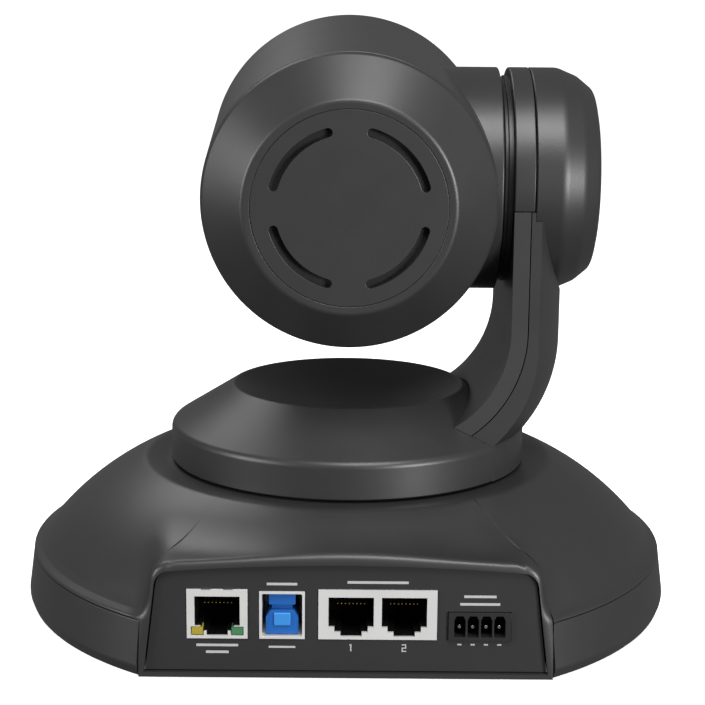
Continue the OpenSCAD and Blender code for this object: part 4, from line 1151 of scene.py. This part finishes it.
@dataclass
class Head:
    """The head's shell, rear cap with its vents, front bezel and glass."""

    repeat: RepeatTree
    body: str = "head"

    def build(self) -> None:
        """Builds the outside of the head."""
        self.shell()
        self.cap()
        self.vents()
        self.front()

    def shell(self) -> None:
        """The tapered barrel and its short neck, as one hollow moulding."""
        y0, y1, t = -S.head_front_y + 3, S.head_back_y - 0.6, S.wall
        r0, r1 = S.head_front_r, S.head_back_r
        barrel = Solid.revolve(
            rounded([(0, y0), (r0, y0), (r1, y1), (0, y1)], [0, 0.4, 0.5, 0], steps=4), 200
        )
        neck = Solid.revolve(
            rounded([(0, 0), (S.hub_r, 0), (S.hub_r, 42.6), (0, 42.6)], [0, 0, 0.5, 0], steps=4), 160
        )
        turn_barrel = Matrix.Rotation(math.radians(-90), 4, "X")
        turn_neck = Matrix.Rotation(math.radians(-90), 4, "Y")
        barrel.move(turn_barrel).fuse(neck.move(turn_neck))
        hollow = Solid.revolve([(0, y0 - 1), (r0 - t, y0 - 1), (r1 - t, y1 + 1), (0, y1 + 1)], 160)
        throat = Solid.rod(S.hub_r - t, 0, 42.6 - t, 120).move(turn_neck)
        bore = Solid.rod(9.0, 20, 60, 80).move(turn_neck)
        barrel.cut(hollow.move(turn_barrel), throat, bore)
        barrel.piece(
            "head_shell_skin", Place.HEAD, self.body, Finishes.HOUSING, "housing", ["head_shell"], 30
        )

    def cap(self) -> None:
        """The bevelled ring at the back."""
        edge, y = S.head_back_r, S.head_back_y
        back = y + S.cap_depth
        rim = S.disc_r + 2.2
        outer = rounded(
            [(edge - 2.5, y), (edge, y), (edge - 0.7, y + 1.3), (rim, back), (S.disc_r + 0.08, back - 0.1),
             (S.disc_r + 0.08, back - 1.2), (S.disc_r - 1.4, back - 1.2), (S.disc_r - 1.4, back - 4.5),
             (edge - 6.9, y), (edge - 6.9, y - 5), (edge - 2.5, y - 5)],
            [0.2, 0.25, 1.6, 1.8, 0.15, 0.1, 0.2, 0.4, 0.5, 0.3, 0.3], closed=True, steps=6,
        )
        ring = Solid.revolve(outer, 200, True)
        ring.piece(
            "rear_cap_ring", Place.HEAD_AXIS, self.body, Finishes.HOUSING, "housing", ["rear_cap"], 50
        )

    def vents(self) -> None:
        """The flat disc with four curved slots."""
        back = S.head_back_y + S.cap_depth - 2.2
        r = S.disc_r
        disc = Solid.revolve(
            rounded(
                [(0, back), (r - 1.6, back), (r - 1.6, back + 1),
                 (r, back + 1), (r, back + 2), (0, back + 2)],
                [0, 0.2, 0.1, 0.2, 0.18, 0], steps=3,
            ), 200
        )
        width, ring, sweep = 2.4, 20.8, 58.0
        for middle in (45, 135, 225, 315):
            inner = arc((0, 0), ring - width / 2, middle - sweep / 2, middle + sweep / 2, 24)
            last, first = middle + sweep / 2, middle - sweep / 2
            tip = arc(around(ring, last), width / 2, last + 180, last, 8)
            outer = arc((0, 0), ring + width / 2, last, first, 24)
            tail = arc(around(ring, first), width / 2, first, first - 180, 8)
            outline = inner + tip[1:-1] + outer + tail[1:-1]
            disc.cut(Solid.prism(outline, 8).shift(z=back - 2))
        disc.flatten().soften(0.2, 60, 2)
        disc.piece(
            "vent_disc_skin", Place.HEAD_AXIS, self.body, Finishes.HOUSING, "housing", ["vent_disc"], 40
        )

    def front(self) -> None:
        """The black bezel and the glass in it."""
        r, g, y = S.head_front_r, 20.0, -51.0
        front = -S.head_front_y
        corners = [
            (g + 1.4, y), (g + 2.4, y - 1.2), (r - 6.5, front - 2.6), (r - 4.2, front - 2.6),
            (r - 0.9, front), (r, front + 2.4), (r - 2.5, front + 2.4), (r - 2.5, front + 8),
            (r - 4.7, front + 8), (r - 4.7, front + 1), (g + 2.6, y + 3), (g - 1, y + 3),
            (g - 1, y + 1.6), (g + 1.4, y + 1.6),
        ]
        radii = [0.2, 0.5, 1.2, 1.6, 1.6, 0.3, 0.2, 0.3, 0.3, 0.4, 0.3, 0.2, 0.1, 0.1]
        ring = Solid.revolve(rounded(corners, radii, closed=True, steps=5), 180, True)
        ring.piece(
            "front_bezel_ring", Place.HEAD_AXIS, self.body, Finishes.BLACK, "black_plastic",
            ["front_bezel"], 50,
        )
        glass = Solid.rod(g, y, y + 1.5, 160, 0.25)
        glass.piece(
            "front_glass_pane", Place.HEAD_AXIS, self.body, Finishes.GLASS, "front_glass", ["front_glass"]
        )


# Underside and inside


@dataclass
class Underside:
    """Feet and screws under the base, placed by the repeat tree."""

    repeat: RepeatTree
    body: str = "base"
    foot_ring_r: float = 65.5
    screw_ring_r: float = 76.9

    def build(self) -> None:
        """Builds the feet and the countersunk screws."""
        foot_r = 6.9
        foot = Solid.revolve(
            rounded([(0, -1.2), (foot_r - 1.2, -1.2), (foot_r, -0.4), (foot_r, 1.0), (0, 1.0)],
                    [0, 0.5, 0.4, 0.2, 0], steps=3), 48
        )
        spots = [(*around(self.foot_ring_r, a), 0) for a in (90, 180, 270, 360)]
        feet = self.repeat.spread(foot, spots, Finishes.RUBBER)
        feet.piece("foot_pads", Place.BASE, self.body, Finishes.RUBBER, "rubber", ["rubber_feet"])
        head = Solid.rod(2.8, 0.1, 1.7, 40, 0.3)
        for turn in (0, 90):
            head.cut(Solid.block((-1.7, -0.35, 0), (1.7, 0.35, 1.1)).turn(turn))
        shank = Solid.rod(1.5, 1.7, 8, 24)
        screw = head.join([shank])
        places = [(*around(self.screw_ring_r, a), 0) for a in (35, 145, 215, 325)]
        screws = self.repeat.spread(screw, places, Finishes.STEEL, turn_spread=1.5)
        screws.piece(
            "base_screw_set", Place.BASE, self.body, Finishes.STEEL, "bright_steel", ["base_screws"]
        )


@dataclass
class Inside:
    """The working parts that stay as CAD made them, given their materials."""

    repeat: RepeatTree
    finishes: dict[str, Finish] = field(
        default_factory=lambda: {
            "base_plate": Finishes.STEEL, "tripod_insert": Finishes.BRASS,
            "main_board": Finishes.BOARD, "board_posts": Finishes.STEEL, "board_screws": Finishes.STEEL,
            "pan_deck": Finishes.STEEL, "deck_posts": Finishes.STEEL, "pan_bush": Finishes.IVORY,
            "thrust_washer": Finishes.IVORY, "pan_motor": Finishes.MOTOR,
            "pan_motor_shaft": Finishes.BRIGHT, "pan_pinion": Finishes.BRASS,
            "pan_spindle": Finishes.BRIGHT, "pan_gear": Finishes.IVORY, "spindle_clip": Finishes.STEEL,
            "turntable_plate": Finishes.STEEL, "arm_bracket": Finishes.STEEL,
            "arm_screws": Finishes.STEEL, "tilt_bush": Finishes.IVORY, "tilt_motor": Finishes.MOTOR,
            "tilt_motor_shaft": Finishes.BRIGHT, "tilt_pinion": Finishes.BRASS,
            "tilt_shaft": Finishes.BRIGHT, "tilt_gear": Finishes.IVORY, "tilt_clip": Finishes.STEEL,
            "dust_filter": Finishes.FILTER, "lens_barrel": Finishes.BLACK,
            "camera_block": Finishes.MOTOR, "head_frame": Finishes.STEEL,
            "guide_rods": Finishes.BRIGHT, "zoom_group": Finishes.LENS, "focus_group": Finishes.LENS,
            "status_light": Finishes.LIGHT_WINDOW,
        }
    )

    def build(self) -> None:
        """Builds the heat sink and gives every other inner node its finish."""
        self.heat_sink()
        for node, finish in self.finishes.items():
            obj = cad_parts[node]
            obj.data.materials.clear()
            obj.data.materials.append(finish.material())
            log.info("%s dressed with %s", node, finish.name)

    def heat_sink(self) -> None:
        """The finned block on the board."""
        plate = Solid.block((-9, 37, 10.5), (9, 51, 13)).soften(0.2, 30, 2)
        fin = Solid.block((0, 37, 13), (1.5, 51, 19)).soften(0.2, 30, 2)
        fins = self.repeat.spread(fin, [(-9 + i * 3.3, 0, 0) for i in range(6)], Finishes.SINK)
        plate.join([fins]).piece(
            "finned_sink", Place.BASE, "base", Finishes.SINK, "heat_sink", ["heat_sink"]
        )


# Stage


@dataclass
class Studio:
    """A pale sweep, soft lights and the camera."""

    eye: tuple[float, float, float] = (0.7, 511.9, 180.7)
    pitch: float = 0.208
    yaw: float = 0.004
    roll: float = 0.009
    lens: float = 89.32

    def build(self) -> None:
        """Builds the stage."""
        self.floor()
        self.world()
        self.lights()
        self.camera()

    def floor(self) -> None:
        """A wide pale floor that curves up behind the object."""
        reach, bend, steps = 4.0, 1.0, 24
        curve = [(reach, 0.0)] + [
            (-1.6 - bend * math.sin(a), bend - bend * math.cos(a))
            for a in (math.pi / 2 * i / steps for i in range(steps + 1))
        ] + [(-1.6 - bend, 4.0)]
        verts = [(x, y, z) for y, z in curve for x in (-5, 5)]
        faces = [(2 * i, 2 * i + 1, 2 * i + 3, 2 * i + 2) for i in range(len(curve) - 1)]
        mesh = bpy.data.meshes.new("floor")
        mesh.from_pydata(verts, [], faces)
        obj = bpy.data.objects.new("floor", mesh)
        bpy.context.scene.collection.objects.link(obj)
        mesh.shade_smooth()
        mesh.materials.append(Finish("floor_paint", (0.9, 0.9, 0.9), 0.8, glow=0.93).material())
        obj.visible_diffuse = obj.visible_glossy = False

    def world(self) -> None:
        """A plain, bright surround."""
        world = bpy.data.worlds.new("studio")
        world.use_nodes = True
        world.node_tree.nodes["Background"].inputs["Color"].default_value = (1, 1, 1, 1)
        world.node_tree.nodes["Background"].inputs["Strength"].default_value = 0.16
        bpy.context.scene.world = world
        bpy.context.scene.view_settings.view_transform = "Standard"

    def lights(self) -> None:
        """Large soft lights above, in front and to both sides."""
        aim = Vector((0, 0, 0.09))
        for name, at, size, power in (
            ("key_light", (-0.2, 0.65, 1.15), 0.6, 15.0),
            ("left_light", (1.05, 0.5, 0.35), 0.5, 9.0),
            ("front_light", (0.5, -0.8, 1.0), 0.6, 4.0),
            ("right_light", (-0.85, 0.95, 0.2), 0.4, 16.0),
        ):
            data = bpy.data.lights.new(name, "AREA")
            data.size, data.energy = size, power
            obj = bpy.data.objects.new(name, data)
            obj.location = at
            obj.rotation_euler = (aim - Vector(at)).to_track_quat("-Z", "Y").to_euler()
            bpy.context.scene.collection.objects.link(obj)

    def camera(self) -> None:
        """The camera, behind the object and a little above it."""
        data = bpy.data.cameras.new("view")
        data.lens, data.sensor_width = self.lens, 36
        data.clip_start, data.clip_end = 0.01, 50
        obj = bpy.data.objects.new("view", data)
        turn = (
            Matrix.Rotation(math.pi - self.yaw, 4, "Z")
            @ Matrix.Rotation(math.pi / 2 - self.pitch, 4, "X")
            @ Matrix.Rotation(self.roll, 4, "Z")
        )
        obj.matrix_world = Matrix.Translation([v * MM for v in self.eye]) @ turn
        bpy.context.scene.collection.objects.link(obj)
        bpy.context.scene.camera = obj


@dataclass
class PtzCamera:
    """The whole camera, as sub-assemblies."""

    repeat: RepeatTree

    def parts(self) -> list[BaseShell | SocketPanel | Turntable | Arm | Head | Underside | Inside]:
        """Returns: every sub-assembly."""
        return [
            BaseShell(), SocketPanel(self.repeat), Turntable(), Arm(),
            Head(self.repeat), Underside(self.repeat), Inside(self.repeat),
        ]

    def build(self) -> None:
        """Builds each sub-assembly."""
        for part in self.parts():
            log.info("building %s", type(part).__name__)
            part.build()


def main() -> None:
    logging.basicConfig(level=logging.INFO, format="%(name)s: %(message)s")
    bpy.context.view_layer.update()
    PtzCamera(RepeatTree("repeat_on_points")).build()
    Studio().build()


if __name__ == "__main__":
    main()
